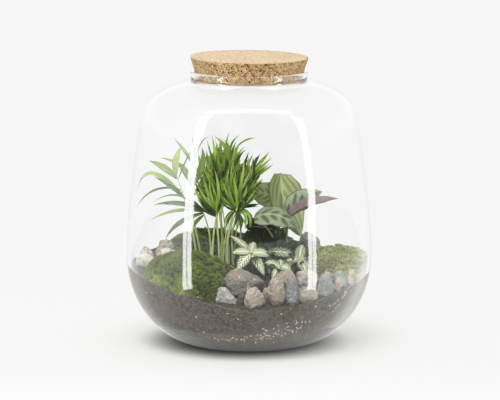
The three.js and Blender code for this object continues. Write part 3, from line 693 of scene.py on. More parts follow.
# Geometry nodes: one small thing repeated over a surface, made real at the end
def scatterTree(name):
    tree = bpy.data.node_groups.new(name, "GeometryNodeTree")
    inputs = {"Surface": "Geometry", "Thing": "Object", "Per square metre": "Float", "Smallest": "Float",
              "Largest": "Float", "Lean": "Float", "Seed": "Int", "Finish": "Material"}
    for title, kind in inputs.items():
        tree.interface.new_socket(title, in_out="INPUT", socket_type="NodeSocket" + kind)
    tree.interface.new_socket("Result", in_out="OUTPUT", socket_type="NodeSocketGeometry")
    given = tree.nodes.new("NodeGroupInput").outputs
    result = tree.nodes.new("NodeGroupOutput")

    def node(kind, settings=None, links=None):
        made = tree.nodes.new(kind)
        for key, value in (settings or {}).items():
            setattr(made, key, value)
        for key, value in (links or {}).items():
            if isinstance(value, bpy.types.NodeSocket):
                tree.links.new(value, made.inputs[key])
            else:
                made.inputs[key].default_value = value
        return made.outputs

    spread = node("GeometryNodeDistributePointsOnFaces", links={
        "Mesh": given["Surface"], "Density": given["Per square metre"], "Seed": given["Seed"]})
    thing = node("GeometryNodeObjectInfo", links={"Object": given["Thing"]})
    size = node("FunctionNodeRandomValue", {"data_type": "FLOAT"}, {
        2: given["Smallest"], 3: given["Largest"], "Seed": given["Seed"]})
    away = node("ShaderNodeMath", {"operation": "MULTIPLY"}, {0: given["Lean"], 1: -1.0})
    low = node("ShaderNodeCombineXYZ", links={0: away[0], 1: away[0], 2: -math.pi})
    high = node("ShaderNodeCombineXYZ", links={0: given["Lean"], 1: given["Lean"], 2: math.pi})
    lean = node("FunctionNodeRandomValue", {"data_type": "FLOAT_VECTOR"}, {
        0: low[0], 1: high[0], "Seed": given["Seed"]})
    placed = node("GeometryNodeInstanceOnPoints", links={
        "Points": spread["Points"], "Instance": thing["Geometry"],
        "Rotation": spread["Rotation"], "Scale": size[1]})
    leaning = node("GeometryNodeRotateInstances", links={"Instances": placed[0], "Rotation": lean[0]})
    shade = node("FunctionNodeRandomValue", {"data_type": "FLOAT"}, {
        2: 0.0, 3: 1.0, "Seed": given["Seed"]})
    marked = node("GeometryNodeStoreNamedAttribute", {"data_type": "FLOAT", "domain": "INSTANCE"}, {
        "Geometry": leaning[0], "Name": "shade", "Value": shade[1]})
    real = node("GeometryNodeRealizeInstances", links={"Geometry": marked[0]})
    dressed = node("GeometryNodeSetMaterial", links={"Geometry": real[0], "Material": given["Finish"]})
    tree.links.new(dressed[0], result.inputs["Result"])
    return tree


scatter = scatterTree("scatter")


def strew(name, surface, **values):  # plain mesh of things strewn over a surface object
    modifier = surface.modifiers.new("scatter", "NODES")
    modifier.node_group = scatter
    keys = {item.name: item.identifier for item in scatter.interface.items_tree
            if item.item_type == "SOCKET" and item.in_out == "INPUT"}
    for key, value in values.items():
        modifier[keys[key.replace("_", " ")]] = value
    graph = bpy.context.evaluated_depsgraph_get()
    mesh = bpy.data.meshes.new_from_object(surface.evaluated_get(graph), depsgraph=graph)
    surface.modifiers.remove(modifier)
    mesh.name = name
    return newObject(name, mesh)


def clearOfGlass(piece, clearance=0.3):
    points = insideGlass(vectors(piece.data.vertices, "co") / mm, clearance) * mm
    piece.data.vertices.foreach_set("co", points.ravel())
    piece.data.update()


def discard(*pieces):
    for piece in pieces:
        bpy.data.objects.remove(piece)


def joinPieces(main, *others):
    with bpy.context.temp_override(active_object=main, selected_editable_objects=[main, *others]):
        bpy.ops.object.join()
    return main


# Crumbs of soil on the surface and pale grains against the glass
crumbs = {"perSquareMetre": 62000.0, "smallest": 0.45, "largest": 1.5, "sides": 5, "tall": 0.8,
          "rings": 24, "turns": 96, "reach": 118.0, "lean": 0.6, "seed": 3, "shaded": 0.42}


def makeCrumb():
    form, sides = Form(), crumbs["sides"]
    ring = [(math.cos(a), math.sin(a), 0.15 * math.cos(3 * a)) for a in fullTurn(sides)]
    points = [(0, 0, crumbs["tall"]), *ring, (0.1, 0, -0.6)]
    form.add(points, fan(0, 1, sides) + fan(sides + 1, 1, sides, back=True))
    return form.piece("crumb", [], smooth=False)


def makeCrumbs():
    crumb = makeCrumb()
    rings, turns = crumbs["rings"], crumbs["turns"]
    form = Form()
    points = []
    for k in range(1, rings + 1):
        for j in range(turns):
            angle = 2 * math.pi * j / turns
            reach = crumbs["reach"] * k / rings
            x, y = reach * math.sin(angle), -reach * math.cos(angle)
            points.append((x, y, float(soilHeight(x, y))))
    form.add(points, ringFaces(rings - 1, turns))
    surface = form.piece("soil surface", [])
    # The crumbs take the soil paint darkened in painted shade
    piece = strew("soil_crumbs", surface, Thing=crumb, Per_square_metre=crumbs["perSquareMetre"],
                  Smallest=crumbs["smallest"], Largest=crumbs["largest"], Lean=crumbs["lean"],
                  Seed=crumbs["seed"], Finish=soilPaint("crumbs", crumbs["shaded"]))
    clearOfGlass(piece)
    discard(surface, crumb)
    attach(piece, "root")


# Angles round the jar (degrees, 0 in front, right positive), heights, spreads and counts of grains
grainClusters = [
    (5, 26, 4, 3, 7), (-5, 22, 3, 2, 6), (-21, 21, 2, 1, 3), (-11, 21, 5, 1.5, 7), (14, 28, 5, 5, 14),
    (22, 33, 4, 4, 7), (28, 33, 3, 3, 5), (31, 39, 2, 2, 3), (45, 54, 4, 4, 8), (54, 66, 4, 5, 6),
    (16, 50, 1, 1, 1), (-4, 46, 6, 4, 2), (-55, 62, 3, 3, 2), (-78, 60, 2, 2, 1), (-32, 48, 14, 10, 3),
    (12, 44, 16, 10, 3), (8, 24, 3, 2, 6), (19, 30, 3, 3, 7), (26, 36, 2, 3, 5),
]


paleGrain = {"sides": 7, "long": (0.9, 2.1), "short": (0.5, 0.95), "inWall": 0.45, "domed": 0.3, "thick": 1.4}


def makeGrains():
    form, sides = Form(), paleGrain["sides"]
    for turn, height, spread, rise, count in grainClusters:
        for _ in range(count):
            angle = math.radians(turn + random.normal(0, spread))
            z = height + random.normal(0, rise)
            reach = float(innerRadius(z)) + paleGrain["inWall"]
            out = np.array([math.sin(angle), -math.cos(angle), 0.0])
            slope = (float(innerRadius(z + 1)) - float(innerRadius(z - 1))) / 2
            across = np.array([out[1], -out[0], 0.0])
            upward = unit(np.array([out[0] * slope, out[1] * slope, 1.0]))
            middle = out * reach + np.array([0, 0, z])
            long, short = random.uniform(*paleGrain["long"]), random.uniform(*paleGrain["short"])
            lean = random.uniform(0, math.pi)
            ring = []
            for a in fullTurn(sides):
                u, v = long * math.cos(a), short * math.sin(a)
                ring.append(middle + across * (u * math.cos(lean) - v * math.sin(lean))
                            + upward * (u * math.sin(lean) + v * math.cos(lean)) - out * paleGrain["domed"])
            points = [middle, *ring, middle - out * paleGrain["thick"]]
            faces = fan(0, 1, sides, back=True) + fan(sides + 1, 1, sides)
            form.add(insideGlass(points, -0.5), faces)
    paint = mottledPaint("pale grains", tint(214, 196, 166), tint(248, 236, 212), 900.0, 0.8)
    piece = form.piece("pale_grains", [paint])
    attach(piece, "root")


makeCrumbs()
makeGrains()
print("soil ready")


# Stones: base, patch and vein colours, then how much of the face is patched and veined
stoneLooks = {
    "stone_front_1": ((124, 118, 106), (142, 116, 82), (206, 204, 198), 0.5, 0.7),
    "stone_front_2": ((172, 170, 164), (132, 126, 118), (214, 212, 206), 0.5, 0.35),
    "stone_front_3": ((84, 78, 70), (110, 96, 82), (130, 124, 116), 0.4, 0.1),
    "stone_front_4": ((168, 154, 134), (142, 124, 104), (210, 202, 188), 0.5, 0.3),
    "stone_front_5": ((146, 144, 142), (120, 112, 104), (190, 188, 184), 0.4, 0.3),
    "stone_front_6": ((166, 149, 121), (142, 122, 98), (214, 200, 180), 0.5, 0.3),
    "stone_front_7": ((132, 134, 135), (112, 113, 114), (178, 180, 180), 0.4, 0.35),
    "stone_front_8": ((164, 150, 120), (140, 132, 118), (198, 190, 170), 0.5, 0.2),
    "stone_front_9": ((166, 152, 130), (152, 134, 106), (206, 198, 190), 0.5, 0.2),
    "stone_right_1": ((170, 160, 144), (140, 140, 142), (206, 204, 198), 0.55, 0.3),
    "stone_right_2": ((130, 130, 128), (102, 100, 96), (196, 196, 192), 0.4, 0.6),
    "stone_right_3": ((176, 154, 122), (150, 128, 100), (204, 192, 170), 0.5, 0.1),
    "stone_right_4": ((172, 148, 122), (150, 126, 104), (200, 186, 168), 0.5, 0.1),
    "stone_right_5": ((144, 147, 149), (118, 118, 118), (192, 195, 197), 0.4, 0.5),
    "stone_right_6": ((176, 152, 124), (146, 120, 96), (206, 190, 170), 0.5, 0.1),
    "stone_right_7": ((176, 154, 136), (152, 126, 106), (208, 194, 184), 0.6, 0.2),
    "stone_left_1": ((184, 168, 150), (160, 140, 120), (204, 188, 176), 0.5, 0.2),
    "stone_left_2": ((212, 202, 182), (196, 176, 150), (226, 218, 204), 0.5, 0.1),
    "stone_left_3": ((168, 166, 164), (146, 142, 138), (200, 198, 194), 0.4, 0.3),
    "stone_left_4": ((182, 168, 148), (146, 130, 112), (214, 198, 184), 0.5, 0.2),
    "stone_left_5": ((214, 204, 186), (196, 178, 156), (230, 220, 208), 0.5, 0.1),
    "stone_back_1": ((176, 182, 172), (150, 160, 142), (200, 204, 198), 0.5, 0.2),
}
stoneGrain = {
    "voxel": 0.75, "chip": 2.4, "rough": 0.7, "sunk": 0.3, "calm": 0.25, "larger": (1.13, 1.0, 1.05),
}


def stonePaint(name, base, patch, vein, patched, veined):
    base, patch, vein = tint(*base), tint(*patch), tint(*vein)
    material, root, place = newPaint(name.replace("_", " "))
    seed = sum(ord(letter) * (k + 1) for k, letter in enumerate(name)) * 0.0173
    shift = root.node("Mapping", sockets={0: place, "Location": (seed, seed * 0.7, 0.0)})
    calm = stoneGrain["calm"]
    base, patch = (tuple(value + (sum(colour[:3]) / 3 - value) * calm for value in colour[:3]) + (1.0,)
                   for colour in (base, patch))
    broad = cloud(root, shift, 75.0, 4.0, 0.6, 0.6)
    middle = cloud(root, shift, 210.0, 5.0, 0.65)
    fine = cloud(root, shift, 480.0, 4.0, 0.7)
    colour = blend(base, patch, ramp(broad, 0.62 - 0.2 * patched, 0.72 - 0.2 * patched))
    grey = sum(base[:3]) / 3
    dark = tuple(0.22 * value + 0.16 * grey for value in base[:3]) + (1.0,)
    colour = blend(colour, dark, ramp(middle * 0.6 + fine * 0.4, 0.52, 0.6) * 0.75)
    pale = tuple(min(1.0, 0.9 * value + 0.6 * grey) for value in base[:3]) + (1.0,)
    colour = blend(colour, pale, ramp(fine, 0.5, 0.6) * 0.8)
    warped = warp(root, shift, 0.02, cloud(root, shift, 60.0, 4.0))
    cracks = cells(root, warped, 95.0, "DISTANCE_TO_EDGE")
    line = (1 - ramp(cracks, 0.0, 0.05)) * ramp(middle, 0.4, 0.56) * veined
    colour = blend(colour, vein, line)
    height = broad * 0.6 + middle * 1.0 + fine * 0.4 - line * 0.15
    return finishPaint(material, root, colour, height, 0.0016, Roughness=0.7 + fine * 0.2,
                       Specular_IOR_Level=0.35)


def makeStone(name, looks):
    copy = newObject("rough " + name, nodes[name].data.copy())
    copy.data.materials.clear()
    weld = copy.modifiers.new("weld", "WELD")
    weld.merge_threshold = 0.00001
    remesh = copy.modifiers.new("remesh", "REMESH")
    remesh.mode = "VOXEL"
    remesh.voxel_size = stoneGrain["voxel"] * mm
    graph = bpy.context.evaluated_depsgraph_get()
    mesh = bpy.data.meshes.new_from_object(copy.evaluated_get(graph), depsgraph=graph)
    discard(copy)
    points = vectors(mesh.vertices, "co") / mm
    normals = vectors(mesh.vertices, "normal")
    for k in range(len(points)):
        spot = Vector(points[k])
        large, small = (min(noise.voronoi(spot * scale)[0][0], 0.8) ** 2 for scale in (0.11, 0.3))
        rough = noise.fractal(spot * 0.4, 0.7, 2.2, 5)
        points[k] += normals[k] * (
            stoneGrain["chip"] * (large + 0.3 * small) + stoneGrain["rough"] * rough - stoneGrain["sunk"])
    centre = (points.min(axis=0) + points.max(axis=0)) / 2
    points = centre + (points - centre) * stoneGrain["larger"]
    mesh.vertices.foreach_set("co", (insideGlass(points, 0.3) * mm).ravel())
    mesh.polygons.foreach_set("use_smooth", np.ones(len(mesh.polygons), bool))
    mesh.materials.append(stonePaint(name, *looks))
    settle(newObject(name + "_rock", mesh), "stone", name)


for stoneName, stoneColours in stoneLooks.items():
    makeStone(stoneName, stoneColours)
print("stones ready")


# Moss: domed cushions with a pile of small leafy shoots
mossCushions = {
    "moss_front_left": {"x": -58, "y": -66, "long": 42, "short": 44, "turn": 40, "height": 27,
                        "flatness": 2.6, "tip": tint(158, 174, 48), "base": tint(56, 72, 12),
                        "seed": 5, "shoot": 4.4},
    "moss_back_left": {"x": -48, "y": 62, "long": 44, "short": 28, "turn": -24, "height": 19,
                       "flatness": 2.4, "tip": tint(160, 170, 92), "base": tint(66, 76, 30),
                       "seed": 8, "shoot": 4.0},
    "moss_right": {"x": 95, "y": -12, "long": 44, "short": 34, "turn": 74, "height": 22, "flatness": 3.6,
                   "tip": tint(220, 226, 140), "base": tint(140, 146, 66), "seed": 11, "shoot": 2.6},
}
mossPile = {"rings": 40, "turns": 110, "perSquareMetre": 190000.0, "smallest": 0.65,
            "largest": 1.15, "lean": 0.55}
# Rings of leaves on a shoot: how many, how high up, how far out, how long and how wide
mossTiers = ((7, 0.15, 0.5, 0.5, 0.17), (6, 0.5, 0.36, 0.55, 0.16), (4, 0.75, 0.16, 0.5, 0.13))


def mossPaint(name, tip, base):
    material, root, place = newPaint(name.replace("_", " "))
    broad = cloud(root, place, 70.0, 3.0)
    fine = cloud(root, place, 420.0, 3.0)
    along = bladePlace(root)[1]
    shade = attribute(root, "shade")
    # Painted light and shade: the shoots darken almost to black towards their bases, a painted shade between
    # them, and lighten towards their tips, partly their own fresh colour and partly painted light
    deep = darker(base, 0.16)
    lit = along * 0.75 + shade * 0.6 + (broad - 0.5) * 0.7
    colour = blend(deep, base, ramp(lit, 0.2, 0.75))
    colour = blend(colour, tip, ramp(lit, 0.62, 1.1))
    worn = tint(178, 162, 100)
    colour = blend(colour, worn, ramp(broad * 0.5 + shade * 0.5, 0.62, 0.8) * 0.3)
    return finishPaint(material, root, colour, fine, 0.0008, Roughness=0.75, Specular_IOR_Level=0.25)


def mossPoint(cushion, out, angle):
    x, y = cushion["x"], cushion["y"]
    turn = math.radians(cushion["turn"])
    edge = 1 + 0.07 * math.sin(3 * angle + x) + 0.05 * math.sin(5 * angle + y)
    u = cushion["long"] * out * edge * math.cos(angle)
    v = cushion["short"] * out * edge * math.sin(angle)
    px = x + u * math.cos(turn) + v * math.sin(turn)
    py = y - u * math.sin(turn) + v * math.cos(turn)
    dome = cushion["height"] * math.sqrt(max(0, 1 - out ** cushion["flatness"]))
    spot = Vector((px, py, 0))
    tufts = 1.5 * noise.noise(spot * 0.12) + 0.9 * noise.noise(spot * 0.3)
    rise = dome + tufts * min(1, 3 * (1 - out))
    return px, py, float(soilHeight(px, py)) + rise - 0.75 * cushion["shoot"]


def mossShoot(size):
    form = Form()
    for leaves, low, spread, length, wide in mossTiers:
        for k in range(leaves):
            angle = 2 * math.pi * (k + low) / leaves
            dx, dy = math.cos(angle), math.sin(angle)
            root = np.array([dx * 0.06, dy * 0.06, low]) * size
            tip = root + np.array([dx * spread, dy * spread, length * (1.1 - spread)]) * size
            middle = (root + tip) / 2 + np.array([0, 0, 0.08 * size])
            side = np.array([-dy, dx, 0]) * wide * size
            form.add([root, middle + side, tip, middle - side], [(0, 1, 2), (0, 2, 3)],
                     [(0.5, low * 0.6), (0.5, low * 0.5 + 0.4), (0.5, 1.0), (0.5, low * 0.5 + 0.4)])
    return form.piece("moss shoot", [])


def makeMoss(name, cushion):
    rings, turns = mossPile["rings"], mossPile["turns"]
    points = [mossPoint(cushion, 0, 0)]
    for k in range(1, rings + 1):
        out = (k / rings) ** 0.85
        points += [mossPoint(cushion, out, 2 * math.pi * j / turns) for j in range(turns)]
    faces = fan(0, 1, turns) + ringFaces(rings - 1, turns, 1)
    material = mossPaint(name, cushion["tip"], cushion["base"])
    dome = Form()
    dome.add(insideGlass(points, 0.8), faces, np.tile((0.5, 0.15), (len(points), 1)))
    surface = dome.piece(name + "_bed", [material])
    if surface.data.polygons[0].normal.z < 0:
        surface.data.flip_normals()
    shoot = mossShoot(cushion["shoot"])
    pile = strew(name + "_pile", surface, Thing=shoot, Per_square_metre=mossPile["perSquareMetre"],
                 Smallest=mossPile["smallest"], Largest=mossPile["largest"], Lean=mossPile["lean"],
                 Seed=cushion["seed"], Finish=material)
    below = points[-turns:]
    rim = [(x, y, z - 3) for x, y, z in below]
    skirt = Form()
    faces = ringFaces(1, turns, back=True) + fan(2 * turns, turns, turns)
    middle = (cushion["x"], cushion["y"], float(soilHeight(cushion["x"], cushion["y"])) - 4)
    places = np.tile((0.5, 0.1), (2 * turns + 1, 1))
    skirt.add(insideGlass([*below, *rim, middle], 0.8), faces, places)
    edge = skirt.piece(name + "_edge", [material])
    clearOfGlass(pile)
    joinPieces(pile, surface, edge)
    discard(shoot)
    settle(pile, "moss", name)
    print(name, len(pile.data.polygons), "faces")


for mossName, mossCushion in mossCushions.items():
    makeMoss(mossName, mossCushion)
print("moss ready")


# Leaves and stems
def addTube(form, route, radii, sides, slot):
    count = len(route)
    forward = unit(np.gradient(route, axis=0))
    across = unit(np.cross(forward, np.array([0.1, 1, 0.05])))
    over = np.cross(across, forward)
    radius = np.linspace(*radii, count)[:, None]
    points, places = [], []
    for k in range(sides):
        a = 2 * math.pi * k / sides
        points.append(route + radius * (across * math.cos(a) + over * math.sin(a)))
        places.append(np.stack([np.full(count, k / sides), np.linspace(0, 1, count)], axis=1))
    points = np.stack(points, axis=1).reshape(-1, 3)
    places = np.stack(places, axis=1).reshape(-1, 2)
    faces = ringFaces(count - 1, sides)
    faces.append(tuple(range(sides)))
    faces.append(tuple(reversed(range((count - 1) * sides, count * sides))))
    form.add(points, faces, places, slot=slot)


def addBlade(form, rib, face, shape, value=0.5, slot=0, underSlot=None):
    rows, columns = len(rib) - 1, shape["columns"]
    forward = unit(np.gradient(rib, axis=0))
    across = unit(np.cross(forward, face))
    up = np.cross(across, forward)
    along = np.linspace(0, 1, rows + 1)
    half = np.maximum(between(np.array(shape["outline"]), along), 0) * shape["width"] / 2
    saw = 2 * np.abs((along * 11) % 1 - 0.5)
    half *= 1 - shape.get("teeth", 0) * saw
    half[-1] = 0
    side = np.linspace(-1, 1, columns + 1)
    fold = np.radians(np.where(side < 0, shape["foldLeft"], shape["foldRight"]))
    out = half[:, None] * side[None, :]
    rise = np.abs(out) * np.sin(fold)[None, :]
    rise = rise + shape["relief"](side[None, :], along[:, None], half[:, None])
    spine = rib[:, None, :] + across[:, None, :] * (out * np.cos(fold)[None, :])[:, :, None]
    spine = spine + up[:, None, :] * rise[:, :, None]
    thick = shape["thickness"] * (1 - 0.75 * side[None, :] ** 2) * np.minimum(1, half[:, None] / 2)
    edge = (np.abs(side)[None, :] > 0.999) | (along[:, None] < 1e-6) | (along[:, None] > 1 - 1e-6)
    thick = np.where(edge, 0, thick)
    upper = spine + up[:, None, :] * thick[:, :, None] / 2
    lower = spine - up[:, None, :] * thick[:, :, None] / 2
    width = columns + 1
    index = np.arange((rows + 1) * width).reshape(rows + 1, width)
    index[-1, :] = index[-1, 0]
    under = index + (rows + 1) * width
    under[edge] = index[edge]
    u = np.broadcast_to((side[None, :] + 1) / 2, (rows + 1, width))
    v = np.broadcast_to(along[:, None], (rows + 1, width))
    places = np.stack([u, v], axis=2).reshape(-1, 2)
    faces, slots = [], []
    for row in range(rows):
        for k in range(columns):
            for grid, back in ((index, False), (under, True)):
                corners = [grid[row, k], grid[row, k + 1], grid[row + 1, k + 1], grid[row + 1, k]]
                corners = list(dict.fromkeys(int(c) for c in corners))
                if len(corners) < 3:
                    continue
                faces.append(corners[::-1] if back else corners)
                slots.append(underSlot if back and underSlot is not None else slot)
    points = insideGlass(np.concatenate([upper.reshape(-1, 3), lower.reshape(-1, 3)]), 0.6)
    form.add(points, faces, np.concatenate([places, places]), value, slots)


def tipDepth(node, x, z):  # how deep the frame's own leaf reaches at this tip, if it is there
    points = np.array([v.co for v in nodes[node].data.vertices]) / mm
    near = np.hypot(points[:, 0] - x, points[:, 2] - z)
    best = int(near.argmin())
    return float(points[best, 1]) if near[best] < 0.2 else None


def buried(point):  # where a stem starts in the ground and comes out of it
    x, y = point[:2]
    ground = float(soilHeight(x, y))
    return [(x, y, ground - 8), (x, y, ground + 4)]


def facing(forward, turn):  # a face that looks at the front, turned about the leaf's own length
    forward = Vector(forward).normalized()
    viewer = Vector((0, -1, 0.25)).normalized()
    return np.array(Quaternion(forward, math.radians(turn)) @ viewer)


# Palm clump: stems with leaflets. Leaflet rows give x and z of root, middle and tip, then the
# width and the turn about the length. How deep a tip lies comes from the frame.
palmShoots = [
  {"depth": -6, "stem": [[-39, 80], [-41, 114], [-47, 135]], "leaflets": [
    [-47, 136, -72, 145, -99, 144, 5, 0], [-47, 135, -76, 136, -103, 125, 4, 20],
    [-47, 134, -72, 124, -86, 107, 5, 0], [-46, 132, -54, 126, -58, 118, 4, 20],
    [-47, 134, -73, 153, -99, 146, 4, 50]]},
  {"depth": 0, "stem": [[-54, 82], [-58, 113], [-63, 134], [-66, 145], [-70, 159], [-75, 172]],
   "leaflets": [
    [-75, 171, -75, 188, -69, 203, 7, 0], [-74, 169, -88, 182, -103, 190, 7, 0],
    [-66, 148, -98, 174, -116, 158, 5, 15], [-67, 149, -83, 163, -99, 173, 4, 10],
    [-69, 157, -97, 157, -116, 139, 4.5, 50], [-73, 168, -65, 188, -58, 198, 4, 65]]},
  {"depth": 10, "stem": [[-50, 84], [-55, 113], [-59, 132], [-58, 155], [-57, 182]], "leaflets": [
    [-57, 179, -65, 194, -79, 212, 4, 25], [-58, 162, -70, 181, -94, 191, 5, 25],
    [-57, 181, -57, 200, -60, 212, 3, 45], [-57, 178, -51, 202, -41, 210, 3, 50],
    [-58, 160, -48, 184, -49, 202, 7, 0], [-58, 150, -45, 169, -41, 187, 6, 10],
    [-58, 156, -66, 170, -74, 172, 6, 20]]},
  {"depth": 2, "stem": [[-29, 80], [-34, 130], [-33, 157], [-31, 180]], "leaflets": [
    [-31, 176, -34, 192, -38, 217, 4.5, 0], [-31, 172, -30, 196, -30, 214, 4, 40],
    [-33, 160, -39, 189, -40, 205, 4, 30], [-32, 168, -36, 185, -37, 198, 4.5, 20],
    [-31, 175, -32, 190, -33, 206, 5, 10], [-33, 152, -42, 179, -45, 188, 5, 20],
    [-32, 164, -26, 181, -28, 199, 5, 0], [-33, 150, -38, 168, -45, 170, 5, 10],
    [-33, 158, -41, 172, -50, 181, 4.5, 15], [-32, 166, -27, 186, -22, 196, 4.5, 20]]},
  {"depth": 8, "stem": [[-24, 80], [-29, 124], [-25, 156], [-22, 181]], "leaflets": [
    [-22, 180, -24, 199, -37, 215, 5, 0], [-23, 172, -24, 200, -19, 217, 4.5, 0],
    [-22, 178, -19, 201, -9, 212, 3.5, 35], [-23, 170, -14, 196, -7, 207, 7, 0],
    [-10, 203, -2, 209, 7, 211, 2, 10], [-25, 160, -12, 180, -13, 194, 5, 10],
    [-26, 152, -17, 172, -10, 176, 5, 10], [-24, 165, -30, 186, -31, 203, 4.5, 20],
    [-23, 174, -17, 188, -14, 204, 4.5, 10]]},
  {"depth": -4, "stem": [[-21, 80], [-21, 112], [-15, 139], [-9, 164], [-6, 178]], "leaflets": [
    [-13, 146, -7, 171, -5, 192, 5, 0], [-12, 150, 1, 168, -3, 191, 5.5, 0],
    [-6, 177, -3, 189, 0, 197, 2.5, 30], [-8, 170, 0, 186, 5, 194, 3, 40],
    [-14, 143, -16, 171, -12, 191, 5, 10], [-15, 140, -22, 163, -20, 182, 5, 0],
    [-10, 160, -15, 176, -17, 193, 4.5, 15], [-12, 152, -4, 160, 4, 176, 4.5, 5],
    [-15, 141, -24, 152, -32, 170, 4.5, 0]]},
  {"depth": 6, "stem": [[-17, 79], [-17, 112], [-9, 139], [-2, 165], [1, 175]], "leaflets": [
    [0, 172, 7, 185, 12, 194, 4, 20], [1, 174, 11, 185, 22, 197, 3.5, 45],
    [-1, 168, 11, 179, 24, 192, 5, 0], [-3, 162, 2, 167, 8, 166, 3, 50],
    [-8, 142, 2, 158, 14, 170, 5, 0], [-9, 137, 3, 141, 11, 143, 5, 10],
    [-6, 150, 4, 160, 8, 156, 5, 10], [-4, 158, 5, 166, 13, 176, 4.5, 15],
    [-2, 166, 3, 180, 4, 192, 4.5, 20]]},
  {"depth": -14, "stem": [[-38, 76], [-36, 116], [-33, 136]], "leaflets": [
    [-34, 134, -46, 153, -55, 174, 5, 0], [-33, 135, -41, 154, -47, 175, 5, 0],
    [-33, 136, -37, 156, -42, 180, 5, 0], [-33, 136, -31, 158, -35, 182, 5, 0],
    [-33, 135, -26, 155, -29, 172, 5, 0], [-34, 133, -44, 145, -51, 161, 4.5, 0],
    [-34, 134, -48, 148, -60, 168, 4.5, 0], [-33, 136, -38, 164, -38, 188, 4.5, 10],
    [-33, 136, -28, 150, -22, 168, 4.5, 0]]},
  {"depth": -16, "stem": [[-22, 76], [-21, 112], [-12, 141]], "leaflets": [
    [-13, 139, -23, 147, -29, 155, 4, 0], [-13, 140, -21, 153, -26, 169, 5, 0],
    [-12, 140, -8, 147, -12, 157, 5.5, 0], [-12, 140, -5, 154, -2, 167, 4.5, 0],
    [-12, 139, -1, 135, -2, 116, 5.5, 0], [-13, 138, -8, 130, -9, 118, 5, 0],
    [-12, 140, -13, 158, -16, 176, 4.5, 0], [-12, 140, 0, 149, 8, 160, 4.5, 0],
    [-13, 138, -20, 132, -24, 120, 4.5, 0]]},
  {"depth": 26, "stem": [[-28, 80], [-29, 121], [-36, 158], [-40, 174]], "leaflets": [
    [-37, 160, -48, 171, -53, 192, 6, 10], [-39, 172, -34, 188, -24, 193, 6, 10],
    [-36, 157, -24, 166, -16, 182, 6, 0], [-33, 142, -47, 150, -62, 151, 5.5, 0],
    [-32, 136, -16, 150, -3, 166, 6, 0], [-34, 147, -28, 166, -22, 179, 6, 0],
    [-39, 171, -44, 182, -48, 172, 6, 0], [-36, 158, -30, 174, -22, 166, 6, 10],
    [-33, 140, -44, 156, -58, 144, 6, 0], [-37, 162, -38, 182, -34, 180, 5, 20]]},
  {"depth": 18, "stem": [[-9, 80], [-9, 117], [-14, 144], [-18, 167]], "leaflets": [
    [-17, 163, -23, 174, -26, 189, 6, 0], [-16, 158, -6, 170, 3, 177, 6, 10],
    [-14, 146, -3, 151, 7, 153, 5, 10], [-18, 166, -16, 178, -11, 189, 6, 10],
    [-13, 139, -24, 147, -36, 153, 6, 0], [-17, 163, -8, 176, 2, 164, 6, 10],
    [-14, 146, -4, 158, 4, 146, 6, 0], [-15, 152, -22, 168, -26, 160, 6, 0],
    [-16, 155, -9, 172, -4, 186, 4.5, 5], [-14, 146, -25, 160, -33, 170, 4.5, 0]]},
]
palm = {
    "outline": [0.35, 0.85, 1, 0.62, 0], "columns": 10, "rows": 20, "thickness": 0.5, "fold": 12,
    "pleat": 0.16, "stemRadii": (1.3, 0.7), "thinRadii": (0.9, 0.5),
    "fresh": (tint(20, 46, 4), tint(144, 190, 48), tint(206, 220, 110)),
    # Muted grey-green for the three sparse shoots at the left: the glass's hazy reflection over them, painted
    # into their colour
    "paintedHaze": (tint(72, 94, 42), tint(136, 158, 84), tint(172, 186, 110)),
    "slim": 0.66, "beside": 3, "spread": 9.0, "sparse": 3, "away": (4.0, 7.5), "narrowest": 3.5,
    "top": 200, "paintedTopLight": 0.25, "shorter": (0.72, 0.97), "narrower": (0.45, 0.68), "twist": 30,
}


def palmPaint(name, deep, bright, young):
    material, root, place = newPaint(name)
    across, along = bladePlace(root)
    shade = attribute(root, "shade")
    mottle = cloud(root, place, 160.0, 3.0)
    lines = root.math("SINE", across * 26.0) * 0.5 + 0.5
    height = parts(root, place)[2]
    # Painted light: leaflets are lighter high in the crown and towards their tips, and darker deep inside it
    paintedCrownLight = ramp(height, 0.13, 0.2) * 0.3 + along * 0.25
    colour = blend(deep, bright, ramp(shade * 0.9 + paintedCrownLight + (mottle - 0.5) * 0.5, 0.4, 0.9))
    colour = blend(colour, young, ramp(shade + paintedCrownLight, 0.85, 1.35) * 0.75)
    colour = blend(colour, deep, lines * 0.22)
    rib = 1 - ramp(abs(across), 0.0, 0.1)
    colour = blend(colour, young, rib * 0.35)
    colour = blend(colour, tint(150, 140, 84), ramp(along, 0.93, 1.0) * 0.6)
    height = lines * 0.5 + mottle * 0.2
    return finishPaint(material, root, colour, height, 0.0002, Roughness=0.42 + mottle * 0.15,
                       Specular_IOR_Level=0.5)


def stemPaint(name, light, dark):
    material, root, place = newPaint(name)
    along = bladePlace(root)[1]
    streak = cloud(root, root.node("Mapping", sockets={0: place, "Scale": (1, 1, 0.06)}), 900.0, 3.0)
    colour = blend(light, dark, ramp(streak, 0.4, 0.66) * 0.7 + ramp(along, 0.35, 0.0) * 0.3)
    return finishPaint(material, root, colour, streak, 0.0003, Roughness=0.5)


def pleats(side, along, half):
    ridge = np.abs(((side * 2.5 + 0.5) % 1.0) - 0.5) * 2
    return palm["pleat"] * ridge * np.minimum(1, half / 2) * (1 - np.abs(side) ** 4)


